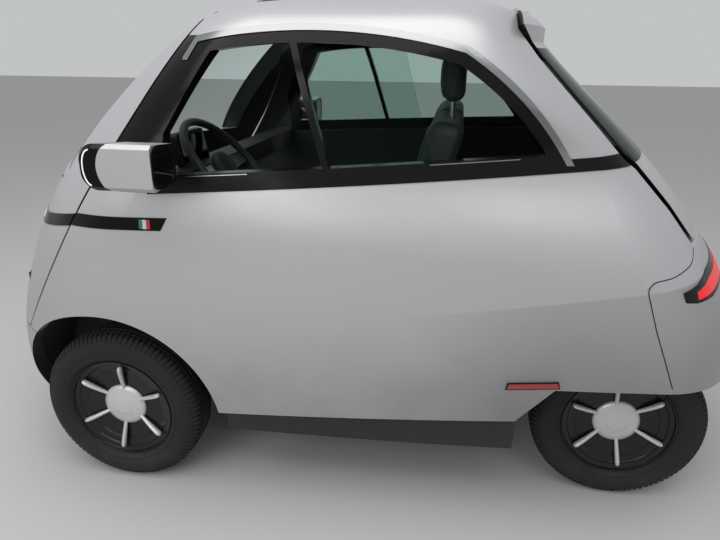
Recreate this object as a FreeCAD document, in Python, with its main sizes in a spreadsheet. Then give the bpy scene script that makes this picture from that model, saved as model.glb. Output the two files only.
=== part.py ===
import FreeCAD, Part
import Sketcher
import os
from math import cos, degrees, radians, sin, sqrt
from FreeCAD import Placement, Rotation, Vector

# A two-seat electric microcar: one side-hinged door forms the whole front, and a
# glazed tailgate the back. X is forward, Y to the car's left, Z up. The origin is
# on the ground below the middle of the length. Millimetres.

doc = FreeCAD.newDocument("microcar")
sheet = doc.addObject("Spreadsheet::Sheet", "sizes")

SIZES = {
    # overall
    "wheelbase": 1571, "front_overhang": 564, "rear_overhang": 384,
    "roof_height": 1501, "body_half_width": 736.5, "body_wall": 40,
    "nose_bow": 950, "tail_bow": 1000,
    # seams and clearances
    "seam_gap": 8, "fit_gap": 0.5, "seat_gap": 0.3, "running_gap": 5.5,
    # wheels
    "tyre_radius": 265, "tyre_width": 145, "bead_radius": 172, "rim_wall": 5,
    "front_wheel_side": 610, "rear_wheel_side": 421, "tread_shoulder": 24,
    "rim_width": 122, "spoke_reach": 148, "spoke_width": 17, "spoke_rise": 70,
    "cap_radius": 72, "cap_rise": 43, "hub_radius": 48, "hub_depth": 36,
    "spindle_radius": 16,
    # wheel arches, sills and skirt
    "arch_gap": 90, "sill_front_height": 316, "sill_rear_height": 358,
    "sill_length": 870, "sill_start": 362, "skirt_height": 472,
    "skirt_step": 100, "floor_height": 225, "floor_thick": 40,
    "well_side": 378, "well_wall": 6, "well_gap": 94,
    # front door
    "door_bottom": 520, "door_top_ahead": 321, "hinge_ahead": 294,
    "hinge_side": 585, "door_crown": 0.76, "door_swell": 0.6,
    "door_start_radius": 53,
    "post_radius": 13, "post_height": 165, "sleeve_wall": 11,
    "screen_bottom": 1012, "screen_top": 1432, "screen_half_bottom": 590,
    "screen_half_top": 440, "glass_depth": 8, "glass_thick": 5,
    "light_bar_ahead": 1893, "light_bar_height": 853, "light_bar_slope": 0.18,
    "light_bar_band": 32, "light_bar_depth": 14,
    "tow_side": 250, "tow_height": 300, "tow_reach": 505, "tow_radius": 8,
    "tow_depth": 60, "tow_boss": 20, "tow_recess": 14,
    # side windows
    "belt_front_height": 993, "belt_rise": 0.062, "belt_band": 34,
    "window_front": 1360, "window_rear": 238, "window_top": 1417,
    "window_crown": 829, "window_bend_height": 1160,
    "window_front_top": 1250, "window_front_top_height": 1390,
    "window_rear_top": 541, "window_rear_top_height": 1369,
    "window_rear_bow": 367, "window_rear_bow_height": 1232,
    "pillar_ahead": 1316, "pillar_bend_height": 1143,
    "pillar_top_ahead": 1190, "pillar_top_height": 1362,
    "cover_low": 996, "cover_high": 1392, "cover_rear_top": 1240,
    "trim_front": 1275, "trim_front_height": 1330, "trim_band": 17,
    "frame_band": 30, "frame_depth": 34, "frame_proud": 2, "cover_depth": 6,
    "divider_ahead": 1012, "divider_lean": 140, "divider_band": 18,
    "pane_slide": 285, "pane_gap": 7,
    # roof
    "roof_half": 500, "roof_low": 1252, "soft_top_front": 1148,
    "soft_top_rear": 600, "soft_top_half": 380, "soft_top_thick": 22,
    "soft_top_proud": 2,
    # tailgate and rear bumper
    "gate_top": 408, "gate_bottom": 858, "gate_gap": 10, "gate_hinge_height": 1473,
    "gate_hinge_side": 150, "gate_pin_radius": 4, "gate_eye_radius": 9,
    "gate_eye_length": 48, "gate_ear_thick": 8, "gate_ear_drop": 26,
    "gate_link_drop": 22,
    "rear_glass_bottom": 1075, "rear_glass_top": 1368, "rear_glass_border": 34,
    "rear_daylight_low": 370, "rear_daylight_high": 300,
    "lip_reach": 302, "lip_back": 50, "lip_drop": 11,
    "tail_lamp_height": 764, "tail_lamp_band": 62, "tail_lamp_depth": 18,
    "tail_lamp_tip": 60, "tail_lamp_taper": 90,
    # lamp and mirror pods
    "pod_front": 1446, "pod_split": 1394, "pod_rear": 1254, "pod_bottom": 1032,
    "pod_top": 1146, "pod_inside": 756, "pod_outside": 878, "pod_taper": 11,
    "pod_bevel": 11, "pod_slant": 24, "pod_nose_round": 44, "pod_split_bulge": 72, "stalk_radius": 22, "stalk_drop": 12,
    # cabin
    "boot_height": 575, "bench_front": 1090, "bench_rear": 600,
    "bench_height": 610, "bench_thick": 130, "bench_half": 520,
    "bench_round": 34, "bench_wall": 20, "back_thick": 110, "back_top": 1180,
    "back_lean": 14, "back_inset": 62, "headrest_side": 240,
    "headrest_half": 130, "headrest_tall": 160, "headrest_deep": 86,
    "headrest_rise": 30, "headrest_rod": 6,
    "battery_length": 410, "battery_width": 820, "battery_height": 190,
    "dash_ahead": 1390, "dash_height": 1010, "dash_thick": 70,
    "dash_deep": 90, "column_radius": 24, "column_length": 240,
    "wheel_ring": 172, "ring_radius": 13, "wheel_place": 1290,
    "wheel_height": 1010, "wheel_side": 330, "wheel_rake": 42,
    "wheel_hub": 45, "wheel_spoke": 9,
    # axles
    "kingpin_side": 505, "kingpin_radius": 11, "knuckle_length": 44,
    "knuckle_width": 45, "knuckle_height": 150, "arm_thick": 26,
    "arm_length": 56, "strut_radius": 20, "beam_length": 120,
    "beam_half": 330, "beam_height": 55, "axle_radius": 28, "axle_end": 76,
    "link_side": 250, "link_width": 36, "motor_radius": 105,
    "motor_half": 150, "motor_ahead": 100, "motor_rise": 60,
}

for number, (alias, value) in enumerate(SIZES.items(), start=1):
    sheet.set(f"A{number}", alias)
    sheet.set(f"B{number}", str(value))
    sheet.setAlias(f"B{number}", alias)
doc.recompute()

SUBPARTS = []


def size(alias):
    return float(sheet.get(alias))


LENGTH = size("wheelbase") + size("front_overhang") + size("rear_overhang")
REAR_AXLE = size("rear_overhang") - LENGTH / 2
FRONT_AXLE = REAR_AXLE + size("wheelbase")
AXLE_Z = size("tyre_radius")
GAP = size("seam_gap")
FIT = size("fit_gap")
SEAT = size("seat_gap")
WALL = size("body_wall")
TOP_Z = size("roof_height") + WALL

# The body's plan outline at each height. nose: reach ahead of the front axle.
# tail: reach behind the rear axle. half: share of the half width. wide: where it
# is widest, ahead of the front axle. front, rear: corner radii. bow: side radius.
PLAN = [
    # height, nose, tail, half, wide, front, rear, bow
    (165, 500, 310, 0.940, 29, 340, 240, 13000),
    (310, 550, 365, 0.966, 29, 385, 260, 13000),
    (450, 564, 384, 0.984, 29, 400, 270, 13000),
    (620, 528, 365, 0.995, 29, 400, 270, 13000),
    (780, 460, 277, 1.000, 29, 400, 260, 11000),
    (930, 374, 160, 0.995, 29, 390, 240, 7500),
    (1020, 310, 80, 0.980, 29, 380, 225, 5600),
    (1200, 137, -106, 0.923, -121, 350, 200, 5000),
    (1340, -28, -258, 0.855, -321, 300, 200, 5000),
    (1430, -158, -345, 0.762, -521, 260, 200, 5000),
    (1474, -268, -400, 0.640, -621, 220, 180, 5000),
    (1494, -400, -495, 0.490, -680, 160, 150, 5000),
    (1500, -470, -560, 0.390, -705, 130, 130, 5000),
    (1501, -530, -605, 0.320, -721, 110, 110, 5000),
]


def meet(c1, r1, c2, r2, pick):
    """Where two circles meet: pick chooses the foremost or the rearmost point."""
    dx, dy = c2[0] - c1[0], c2[1] - c1[1]
    gap = sqrt(dx * dx + dy * dy)
    reach = (r1 * r1 - r2 * r2 + gap * gap) / (2 * gap)
    rise = sqrt(r1 * r1 - reach * reach)
    x, y = c1[0] + reach * dx / gap, c1[1] + reach * dy / gap
    first = (x - rise * dy / gap, y + rise * dx / gap)
    second = (x + rise * dy / gap, y - rise * dx / gap)
    return pick(first, second, key=lambda p: p[0])


def along(start, end, reach):
    """The point at a distance from start on the way to end."""
    dx, dy = end[0] - start[0], end[1] - start[1]
    gap = sqrt(dx * dx + dy * dy)
    return (start[0] + dx / gap * reach, start[1] + dy / gap * reach)


def arc_middle(centre, p, q, radius):
    """The middle of the short arc from p to q."""
    return along(centre, ((p[0] + q[0]) / 2, (p[1] + q[1]) / 2), radius)


def plan_wire(row, inset):
    """One plan outline, moved inward: nose arc, corners, bowed sides, tail arc."""
    height, nose, tail, share, wide, front, rear, bow = row
    half = size("body_half_width") * share - inset
    tip = FRONT_AXLE + nose - inset
    end = REAR_AXLE - tail + inset
    front, rear, side_r = front - inset, rear - inset, bow - inset
    nose_r, tail_r = size("nose_bow") - inset, size("tail_bow") - inset
    side_c, nose_c, tail_c = (FRONT_AXLE + wide, half - side_r), (tip - nose_r, 0), (end + tail_r, 0)
    corner_f = meet(nose_c, nose_r - front, side_c, side_r - front, max)
    corner_r = meet(tail_c, tail_r - rear, side_c, side_r - rear, min)
    nose_end, side_start = along(nose_c, corner_f, nose_r), along(side_c, corner_f, side_r)
    side_end, tail_start = along(side_c, corner_r, side_r), along(tail_c, corner_r, tail_r)
    front_mid = arc_middle(corner_f, nose_end, side_start, front)
    side_mid = arc_middle(side_c, side_start, side_end, side_r)
    rear_mid = arc_middle(corner_r, side_end, tail_start, rear)

    def arc(*points):
        return Part.Arc(*[Vector(x, y, height) for x, y in points]).toShape()

    def far(point):
        return (point[0], -point[1])

    return Part.Wire([
        arc(far(nose_end), (tip, 0), nose_end), arc(nose_end, front_mid, side_start),
        arc(side_start, side_mid, side_end), arc(side_end, rear_mid, tail_start),
        arc(tail_start, (end, 0), far(tail_start)), arc(far(tail_start), far(rear_mid), far(side_end)),
        arc(far(side_end), far(side_mid), far(side_start)),
        arc(far(side_start), far(front_mid), far(nose_end))])


FORMS = {}


def form(inset):
    """The closed body form, moved inward by inset on the sides and at the top."""
    if inset not in FORMS:
        low, high = PLAN[0][0], PLAN[-1][0]
        wires = []
        for row in PLAN:
            height = row[0] - inset * (row[0] - low) / (high - low)
            wires.append(plan_wire((height,) + row[1:], inset))
        FORMS[inset] = Part.makeLoft(wires, True, False)
    return FORMS[inset]


def skin(region, outer, inner):
    """What lies in a region between two depths under the body's surface."""
    return region.common(form(outer)).cut(form(inner))


def block(x0, x1, y0, y1, z0, z1):
    return Part.makeBox(x1 - x0, y1 - y0, z1 - z0, Vector(x0, y0, z0))


def swept(corners, way):
    """A closed polygon, swept along a vector."""
    return Part.Face(Part.makePolygon(corners + corners[:1])).extrude(way)


def side_prism(points, y0=-LENGTH, y1=LENGTH):
    """A side-view polygon of (ahead of the rear axle, height), swept across."""
    return swept([Vector(REAR_AXLE + x, y0, z) for x, z in points], Vector(0, y1 - y0, 0))


def front_prism(points, x0, x1):
    """A front-view polygon of (side, height), swept along the car."""
    return swept([Vector(x0, y, z) for y, z in points], Vector(x1 - x0, 0, 0))


def rod(radius, start, end):
    return Part.makeCylinder(radius, (end - start).Length, start, end - start)


def across(radius, x, y, z, half):
    """A round bar along Y, centred on y."""
    return rod(radius, Vector(x, y - half, z), Vector(x, y + half, z))


def upright(radius, x, y, z0, z1):
    return Part.makeCylinder(radius, z1 - z0, Vector(x, y, z0))


def mirrored(shape):
    return shape.mirror(Vector(0, 0, 0), Vector(0, 1, 0))


def largest(shape):
    return max(shape.Solids, key=lambda solid: solid.Volume)


def add(label, shape):
    """A sub-part whose shape is made here from the sheet's sizes."""
    node = doc.addObject("Part::Feature", label)
    node.Label = label
    node.Shape = shape.Solids[0] if len(shape.Solids) == 1 else shape
    SUBPARTS.append(node)
    return node


def add_pair(name, shape):
    """The same sub-part on the left and, mirrored, on the right."""
    add(f"{name}_left", shape)
    add(f"{name}_right", mirrored(shape))


# Body form, with the zones of the door, tailgate, bumpers and roof
SHELL = form(0).cut(form(WALL))
INSIDE = form(WALL + FIT)
HINGE_X = FRONT_AXLE + size("hinge_ahead")
HINGE_Y = size("hinge_side")
DOOR_Z = size("door_bottom")
DOOR_TOP_X = FRONT_AXLE - size("door_top_ahead")
# half of the door's width where its top edge ends in the side seams
CROWN_HALF = HINGE_Y * size("door_crown")


def seam_cone(side, grow):
    """The door's side seam, a cone about a hinge line, so the edge clears as it turns."""
    low = size("door_start_radius") + grow
    high = low + size("door_swell") * (TOP_Z - DOOR_Z)
    return Part.makeCone(low, high, TOP_Z - DOOR_Z, Vector(HINGE_X, side * HINGE_Y, DOOR_Z))


def door_zone(grow):
    """All that moves with the front door, larger or smaller by grow."""
    nose = block(HINGE_X, LENGTH, -LENGTH, LENGTH, DOOR_Z - grow, TOP_Z)
    crown = block(DOOR_TOP_X - grow, HINGE_X + 1, -CROWN_HALF, CROWN_HALF, DOOR_Z - grow, TOP_Z)
    zone = nose.fuse([crown, seam_cone(1, grow), seam_cone(-1, grow)])
    return zone.cut(block(-LENGTH, LENGTH, -LENGTH, LENGTH, 0, DOOR_Z - grow))


ARCH = across(size("tyre_radius") + size("arch_gap"), FRONT_AXLE, 0, AXLE_Z, LENGTH)
SILL_FRONT = size("wheelbase") - size("sill_start")
SILL_REAR = SILL_FRONT - size("sill_length")
UNDER = side_prism([
    (size("wheelbase"), 0), (size("wheelbase"), size("sill_front_height")),
    (SILL_FRONT, size("sill_front_height")), (SILL_REAR, size("sill_rear_height")),
    (SILL_REAR - size("skirt_step"), size("skirt_height")),
    (-LENGTH, size("skirt_height")), (-LENGTH, 0)])

GATE_X = REAR_AXLE + size("gate_top")
GATE_GAP = size("gate_gap")
GATE_Z = size("gate_bottom")
ROOF_Z = size("screen_top")
SKIRT_Z = size("skirt_height")
# the tailgate's side seam, from its top corner down to the bumper's corner
GATE_SEAM = [(size("gate_top"), TOP_Z), (size("gate_top"), ROOF_Z - 10), (350, 1350),
             (105, 1095), (66, 1066), (-40, 955), (-118, GATE_Z)]
# the bumper's seam, from the tailgate's lower corner forward and down
TAIL_SEAM = [(-118, GATE_Z), (-92, GATE_Z - 32), (-27, GATE_Z - 53), (25, GATE_Z - 60),
             (40, GATE_Z - 80), (0, 664), (-100, SKIRT_Z - 40)]


def gate_zone(grow):
    zone = side_prism(GATE_SEAM + [(-LENGTH, GATE_Z), (-LENGTH, TOP_Z)])
    return zone.translated(Vector(grow, 0, -grow))


def tail_zone(grow):
    zone = side_prism(TAIL_SEAM + [(-LENGTH, SKIRT_Z - 40), (-LENGTH, GATE_Z)])
    return zone.translated(Vector(grow, 0, grow))


def roof_zone(grow):
    half = size("roof_half") + grow
    return block(-LENGTH, LENGTH, -half, half, size("roof_low"), TOP_Z)


TRIMMED = SHELL.cut([ARCH, UNDER])
REST = TRIMMED.cut([
    door_zone(GAP / 2), gate_zone(GATE_GAP / 2), tail_zone(FIT),
    block(FRONT_AXLE, LENGTH, -LENGTH, LENGTH, 0, DOOR_Z)])


# Side windows, their black frames and covers, and the bright trim
def belt_height(ahead):
    return size("belt_front_height") + (size("window_front") - ahead) * size("belt_rise")


def window_prism(inset):
    """The window outline moved inward, swept from the car's middle outward."""
    front, rear = size("window_front"), size("window_rear")
    low_front = Vector(front, 0, belt_height(front))
    bend = Vector(front, 0, size("window_bend_height"))
    top_front = Vector(size("window_front_top"), 0, size("window_front_top_height"))
    crown = Vector(size("window_crown"), 0, size("window_top"))
    top_rear = Vector(size("window_rear_top"), 0, size("window_rear_top_height"))
    rear_bow = Vector(size("window_rear_bow"), 0, size("window_rear_bow_height"))
    low_rear = Vector(rear, 0, belt_height(rear))
    wire = Part.Wire([
        Part.makeLine(low_front, bend), Part.makeLine(bend, top_front),
        Part.Arc(top_front, crown, top_rear).toShape(),
        Part.Arc(top_rear, rear_bow, low_rear).toShape(), Part.makeLine(low_rear, low_front)])
    if inset:
        wire = wire.makeOffset2D(-inset)
    return Part.Face(wire).extrude(Vector(0, LENGTH, 0)).translated(Vector(REAR_AXLE, 0, 0))


def clear_opening(gap):
    """The daylight inside the frame, less a gap: the front pillar is the wider side."""
    inner = window_prism(size("trim_band") + size("frame_band") + gap)
    low, high = size("pillar_ahead") - gap, size("pillar_top_ahead") - gap
    behind_pillar = side_prism([(low, 0), (low, size("pillar_bend_height")), (high, size("pillar_top_height")),
                                (high, TOP_Z), (0, TOP_Z), (0, 0)])
    return inner.common(behind_pillar)


def belt_band(low, high, x0, x1):
    """A strip that follows the belt line."""
    return side_prism([(x0, belt_height(x0) + low), (x1, belt_height(x1) + low),
                       (x1, belt_height(x1) + high), (x0, belt_height(x0) + high)], 0)


def divider_prism(x_shift, band):
    top, low = size("divider_ahead") + x_shift, size("divider_ahead") - size("divider_lean") + x_shift
    foot, head = size("cover_low"), size("window_top") + WALL
    return side_prism([(top, head), (top - band, head), (low - band, foot), (low, foot)], 0)


PROUD = size("frame_proud")
COVER = size("cover_depth")
TRIM_BAND = size("trim_band")
BELT = belt_band(0, size("belt_band"), 0, size("window_front")).cut(gate_zone(GATE_GAP / 2))
# the cover over the door pillar: the door's seam trims its front edge
PILLAR_LOW = size("window_front") - COVER
PILLAR = side_prism([(PILLAR_LOW, size("cover_low")), (size("wheelbase"), size("cover_low")),
                     (size("window_front"), size("cover_high")), (size("cover_rear_top"), size("cover_high"))], 0)
# the bright trim runs above the glass only: over the arch and down the rear curve
TRIM_REACH = side_prism([(0, belt_height(0) + 1), (size("soft_top_rear"), belt_height(0) + 1),
                         (size("divider_ahead"), size("trim_front_height")),
                         (size("trim_front"), size("trim_front_height")), (size("trim_front"), TOP_Z),
                         (0, TOP_Z)], 0)
TRIM_SPACE = window_prism(-1).cut(window_prism(TRIM_BAND + FIT)).common(TRIM_REACH)

side_shape = REST.cut(roof_zone(FIT)).common(block(-LENGTH, LENGTH, 0, LENGTH, 0, TOP_Z))
cover_space = skin(BELT.fuse(PILLAR), -1, COVER + FIT)
add_pair("side_panel", largest(side_shape.cut([window_prism(0), cover_space])))

trim = window_prism(0).cut(window_prism(TRIM_BAND)).common(TRIM_REACH)
add_pair("window_trim", skin(trim, -2 * PROUD, size("frame_depth") / 3))

ring = window_prism(FIT).cut(clear_opening(0)).cut(TRIM_SPACE)
covers = BELT.fuse(PILLAR.common(REST)).cut([TRIM_SPACE, clear_opening(0)])
divider = divider_prism(0, size("divider_band")).common(window_prism(TRIM_BAND + FIT))
PANE_DEPTH = size("glass_depth")
SLIDE_DEPTH = PANE_DEPTH + size("glass_thick") + size("pane_gap")
frame = skin(ring, -PROUD, size("frame_depth"))
frame = frame.fuse([skin(divider, -PROUD, SLIDE_DEPTH - SEAT), skin(covers, -PROUD, COVER)])
add_pair("window_frame", largest(frame.removeSplitter()))

glass = clear_opening(FIT)
behind = divider_prism(-size("divider_band") - FIT, LENGTH)
ahead = divider_prism(LENGTH, LENGTH - FIT)
add_pair("rear_side_window", skin(glass.common(behind), PANE_DEPTH, PANE_DEPTH + size("glass_thick")))
# the left pane stands open, slid back behind the fixed one
pane = glass.common(ahead)
open_pane = pane.translated(Vector(-size("pane_slide"), 0, 0)).common(glass)
SLIDE = (SLIDE_DEPTH, SLIDE_DEPTH + size("glass_thick"))
add("sliding_window_left", skin(largest(open_pane), *SLIDE))
add("sliding_window_right", mirrored(skin(largest(pane), *SLIDE)))

# Roof with the recess of its fabric top and the ears of the tailgate's hinges
SOFT_X0 = REAR_AXLE + size("soft_top_rear")
SOFT_X1 = REAR_AXLE + size("soft_top_front")
SOFT_HALF = size("soft_top_half")
PIN_Z = size("gate_hinge_height")
PIN_R = size("gate_pin_radius")
EYE_R = size("gate_eye_radius")
EYE_HALF = size("gate_eye_length") / 2
EAR = size("gate_ear_thick")
CLEAR = size("running_gap")


def soft_top_zone(gap):
    return block(SOFT_X0 + gap, SOFT_X1 - gap, -SOFT_HALF + gap, SOFT_HALF - gap, size("roof_low"), TOP_Z)


roof = REST.common(roof_zone(-FIT)).cut(soft_top_zone(0))
for side in (1, -1):
    y = side * size("gate_hinge_side")
    roof = roof.cut(across(EYE_R + CLEAR, GATE_X, y, PIN_Z, EYE_HALF + SEAT))
    for ear_y in (y - EYE_HALF - SEAT - EAR / 2, y + EYE_HALF + SEAT + EAR / 2):
        ear = block(GATE_X, GATE_X + WALL, ear_y - EAR / 2, ear_y + EAR / 2,
                    PIN_Z - size("gate_ear_drop"), PIN_Z + PIN_R)
        roof = roof.fuse([ear, across(EYE_R, GATE_X, ear_y, PIN_Z, EAR / 2)])
    roof = roof.fuse(across(PIN_R, GATE_X, y, PIN_Z, EYE_HALF + SEAT + EAR))
add("roof_panel", roof.removeSplitter())
add("fabric_roof", skin(soft_top_zone(FIT), -size("soft_top_proud"), size("soft_top_thick")))


# Tailgate: its glass wraps round to the side seams, below a lip that ends the roof
def window_outline(low, half_low, top, half_top, gap):
    """An upright trapezium for a front or rear window, less a gap all round."""
    return [(gap - half_low, low + gap), (half_low - gap, low + gap),
            (half_top - gap, top - gap), (gap - half_top, top - gap)]


def rear_glass_zone(gap):
    low, high = size("rear_glass_bottom") + gap, size("rear_glass_top") - gap
    band = block(-LENGTH, LENGTH, -LENGTH, LENGTH, low, high)
    return gate_zone(-GATE_GAP / 2 - gap).common(band)


GLASS = size("glass_thick")
LIP_Z = size("rear_glass_top")
border = size("rear_glass_border")
daylight = window_outline(size("rear_glass_bottom") + border, size("rear_daylight_low"),
                          LIP_Z - border, size("rear_daylight_high"), 0)
# the lip is the body form once more, moved back along the roof and cut off upright
LIP_PLAN = (LIP_Z, -75, -size("lip_reach"), 0.822, -390, 286, 200, 5000)
lip_end = Part.Face(plan_wire(LIP_PLAN, 0)).extrude(Vector(0, 0, TOP_Z - LIP_Z))
lip = form(0).translated(Vector(-size("lip_back"), 0, -size("lip_drop"))).common(lip_end)
gate = TRIMMED.common(gate_zone(-GATE_GAP / 2)).fuse(lip.common(gate_zone(-GATE_GAP / 2)).cut(form(WALL)))
gate = gate.cut([front_prism(daylight, -LENGTH, GATE_X - WALL), skin(rear_glass_zone(0), -1, GLASS + SEAT)])
for side in (1, -1):
    y = side * size("gate_hinge_side")
    gate = gate.cut(across(EYE_R + CLEAR, GATE_X, y, PIN_Z, EYE_HALF + EAR + CLEAR))
    link = block(GATE_X - WALL, GATE_X, y - EYE_HALF, y + EYE_HALF, PIN_Z - size("gate_link_drop"), PIN_Z)
    eye = across(EYE_R, GATE_X, y, PIN_Z, EYE_HALF)
    gate = gate.fuse([eye, link]).cut(across(PIN_R + SEAT, GATE_X, y, PIN_Z, 3 * EYE_HALF))
add("tailgate_panel", largest(gate))
add("rear_window", largest(skin(rear_glass_zone(FIT), 0, GLASS)))


# Rear bumper with the lamp that wraps across it
def lamp_zone(gap):
    low = size("tail_lamp_height") - size("tail_lamp_band") / 2 + gap
    high = low + size("tail_lamp_band") - 2 * gap
    tip, long = -size("tail_lamp_tip") - gap, size("tail_lamp_taper")
    return side_prism([(tip, (low + high) / 2), (tip - long / 9, low + 6), (tip - long / 2, low),
                       (-LENGTH, low), (-LENGTH, high), (tip - long, high), (tip - long / 2, high - 20)])


tail = TRIMMED.common(tail_zone(0)).cut(gate_zone(GATE_GAP / 2))
tail = tail.cut(skin(lamp_zone(0), -1, size("tail_lamp_depth") + FIT))
add("rear_bumper", largest(tail))
add("tail_light_bar", skin(lamp_zone(FIT), -PROUD, size("tail_lamp_depth")))


# Front door with its hinge sleeve, windscreen and light bar
def screen_opening(gap):
    outline = window_outline(size("screen_bottom"), size("screen_half_bottom"),
                             size("screen_top"), size("screen_half_top"), gap)
    return front_prism(outline, 0, LENGTH)


def light_bar_zone(gap):
    """A band round the nose that rises towards the side seams."""
    half = size("light_bar_band") / 2 - gap
    reach = size("wheelbase")
    low = size("light_bar_height") + (size("light_bar_ahead") - reach) * size("light_bar_slope")
    tip = low - reach * size("light_bar_slope")
    return side_prism([(reach, low - half), (2 * reach, tip - half), (2 * reach, tip + half),
                       (reach, low + half)])


POST_R = size("post_radius")
POST_TOP = DOOR_Z + size("post_height")
door = TRIMMED.common(door_zone(-GAP / 2)).cut(screen_opening(0))
sleeve = upright(POST_R + size("sleeve_wall"), HINGE_X, HINGE_Y, DOOR_Z + GAP / 2, POST_TOP - GAP)
post_space = upright(POST_R + FIT, HINGE_X, HINGE_Y, 0, POST_TOP + GAP)
door = door.fuse(sleeve.common(form(PROUD)))
door = door.cut([post_space, skin(light_bar_zone(0), -1, size("light_bar_depth"))])
add("front_door_panel", door)
add("windscreen", skin(screen_opening(FIT), PANE_DEPTH / 2, PANE_DEPTH / 2 + size("glass_thick")))
bar = skin(light_bar_zone(FIT), -PROUD, size("light_bar_depth") - FIT)
add("front_light_bar", bar.common(door_zone(-GAP / 2)))

# Front bumper below the door, with the socket of a towing eye
bumper = TRIMMED.common(block(FRONT_AXLE, LENGTH, -LENGTH, LENGTH, 0, DOOR_Z - GAP / 2))
TOW_X = FRONT_AXLE + size("tow_reach")
TOW_DEPTH = size("tow_depth")


def tow_bar(radius, x0, x1):
    """A round bar along the car on the towing socket's axis."""
    return rod(radius, Vector(x0, -size("tow_side"), size("tow_height")),
               Vector(x1, -size("tow_side"), size("tow_height")))


bumper = bumper.fuse(tow_bar(size("tow_boss"), TOW_X - TOW_DEPTH - 10, TOW_X - 1))
bumper = bumper.cut([tow_bar(size("tow_recess"), TOW_X, LENGTH),
                     tow_bar(size("tow_radius"), TOW_X - TOW_DEPTH, LENGTH), post_space])
add("front_bumper", bumper)


# Lamp and mirror pods on their stalks
def rounded_side_block(x0, x1, y0, y1, z0, z1, round_r):
    """A block whose side view has rounded corners."""
    shape = block(x0, x1, y0, y1, z0, z1)
    edges = [e for e in shape.Edges if abs(e.tangentAt(0).y) > 0.9]
    return shape.makeFillet(round_r, edges)


POD_X0, POD_X1 = REAR_AXLE + size("pod_rear"), REAR_AXLE + size("pod_front")
POD_IN, POD_OUT = size("pod_inside"), size("pod_outside")
POD_Z = (size("pod_bottom") + size("pod_top")) / 2
POD_LOW, POD_HIGH, TAPER = size("pod_bottom"), size("pod_top"), size("pod_taper")
pod = front_prism([(POD_IN, POD_LOW + TAPER), (POD_OUT, POD_LOW), (POD_OUT, POD_HIGH),
                   (POD_IN, POD_HIGH - TAPER)], POD_X0, POD_X1)
SLANT = size("pod_slant")
ahead_of_slant = swept([Vector(POD_X1, POD_OUT, 0), Vector(POD_X1 - SLANT, POD_IN, 0),
                        Vector(LENGTH, POD_IN, 0), Vector(LENGTH, POD_OUT, 0)], Vector(0, 0, TOP_Z))
pod = pod.cut(ahead_of_slant)
nose_edges = [e for e in pod.Edges if e.BoundBox.XMin > POD_X1 - SLANT - 1
              and e.BoundBox.YLength > POD_OUT - POD_IN - 1]
pod = pod.makeFillet(size("pod_nose_round"), nose_edges)
rims = [e for e in pod.Edges if e.BoundBox.YLength < 1 and e.BoundBox.XMax > POD_X0 + 1]
pod = pod.makeChamfer(size("pod_bevel"), rims)
# the shell's front edge bulges, and the lens lies ahead of it
BULGE = size("pod_split_bulge")
SPLIT_X = REAR_AXLE + size("pod_split")
shell_zone = across(BULGE, SPLIT_X - BULGE, 0, POD_Z, LENGTH).fuse(
    block(POD_X0 - 1, SPLIT_X - BULGE, 0, LENGTH, 0, TOP_Z))
stalk_half = (POD_OUT - POD_IN) / 2
stalk = across(size("stalk_radius"), (POD_X0 + SPLIT_X) / 2, POD_IN - stalk_half / 2,
               POD_Z - size("stalk_drop"), stalk_half)
add_pair("lamp_mirror_pod", pod.common(shell_zone).fuse(stalk.cut(form(-SEAT - PROUD))))
add_pair("headlamp_lens", pod.cut(shell_zone))

# Floor tub: floor, sills, boot floor, bench box, wheel wells and the door's post
FLOOR_Z = size("floor_height")
FLOOR_TOP = FLOOR_Z + size("floor_thick")
PLATE = size("bench_wall")
WELL_R = size("tyre_radius") + size("well_gap")
WELL_WALL = size("well_wall")
REAR_WALL_X = REAR_AXLE + size("tyre_radius") + 65
BOOT_Z = size("boot_height")
SILL_TOP = size("sill_rear_height") + 30
BENCH_Z = size("bench_height")
BENCH_HALF = size("bench_half")
floor = block(REAR_WALL_X, LENGTH, -LENGTH, LENGTH, FLOOR_Z, FLOOR_TOP)
sills = block(REAR_WALL_X, FRONT_AXLE, -LENGTH, LENGTH, FLOOR_Z, SILL_TOP)
sills = sills.cut(block(-LENGTH, LENGTH, -600, 600, FLOOR_TOP, TOP_Z))
boot = block(-LENGTH, REAR_WALL_X + PLATE, -LENGTH, LENGTH, BOOT_Z, BOOT_Z + PLATE)
wall = block(REAR_WALL_X, REAR_WALL_X + PLATE, -LENGTH, LENGTH, FLOOR_Z, BOOT_Z + PLATE)
tub = INSIDE.common(floor.fuse([sills, boot, wall]))
for ahead_x in (size("bench_rear") + PLATE, size("bench_front") - 30):
    x = REAR_AXLE + ahead_x
    tub = tub.fuse(block(x, x + PLATE, -BENCH_HALF, BENCH_HALF, FLOOR_TOP - 1,
                         BENCH_Z - size("bench_thick") - SEAT))
inner_y = size("well_side")


def well(side, radius, start):
    return rod(radius, Vector(FRONT_AXLE, side * start, AXLE_Z), Vector(FRONT_AXLE, side * LENGTH, AXLE_Z))


for side in (1, -1):
    lining = well(side, WELL_R + WELL_WALL, inner_y - WELL_WALL).common(INSIDE)
    lining = lining.common(block(0, LENGTH, -LENGTH, LENGTH, FLOOR_Z, TOP_Z))
    tub = tub.fuse(lining).cut(well(side, WELL_R, inner_y))
# the door's post stands on the left wheel's lining
post = upright(POST_R, HINGE_X, HINGE_Y, AXLE_Z, POST_TOP).cut(well(1, WELL_R, inner_y))
tub = tub.cut(door_zone(GAP / 2)).fuse(post)
add("floor_tub", largest(tub).removeSplitter())

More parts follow.
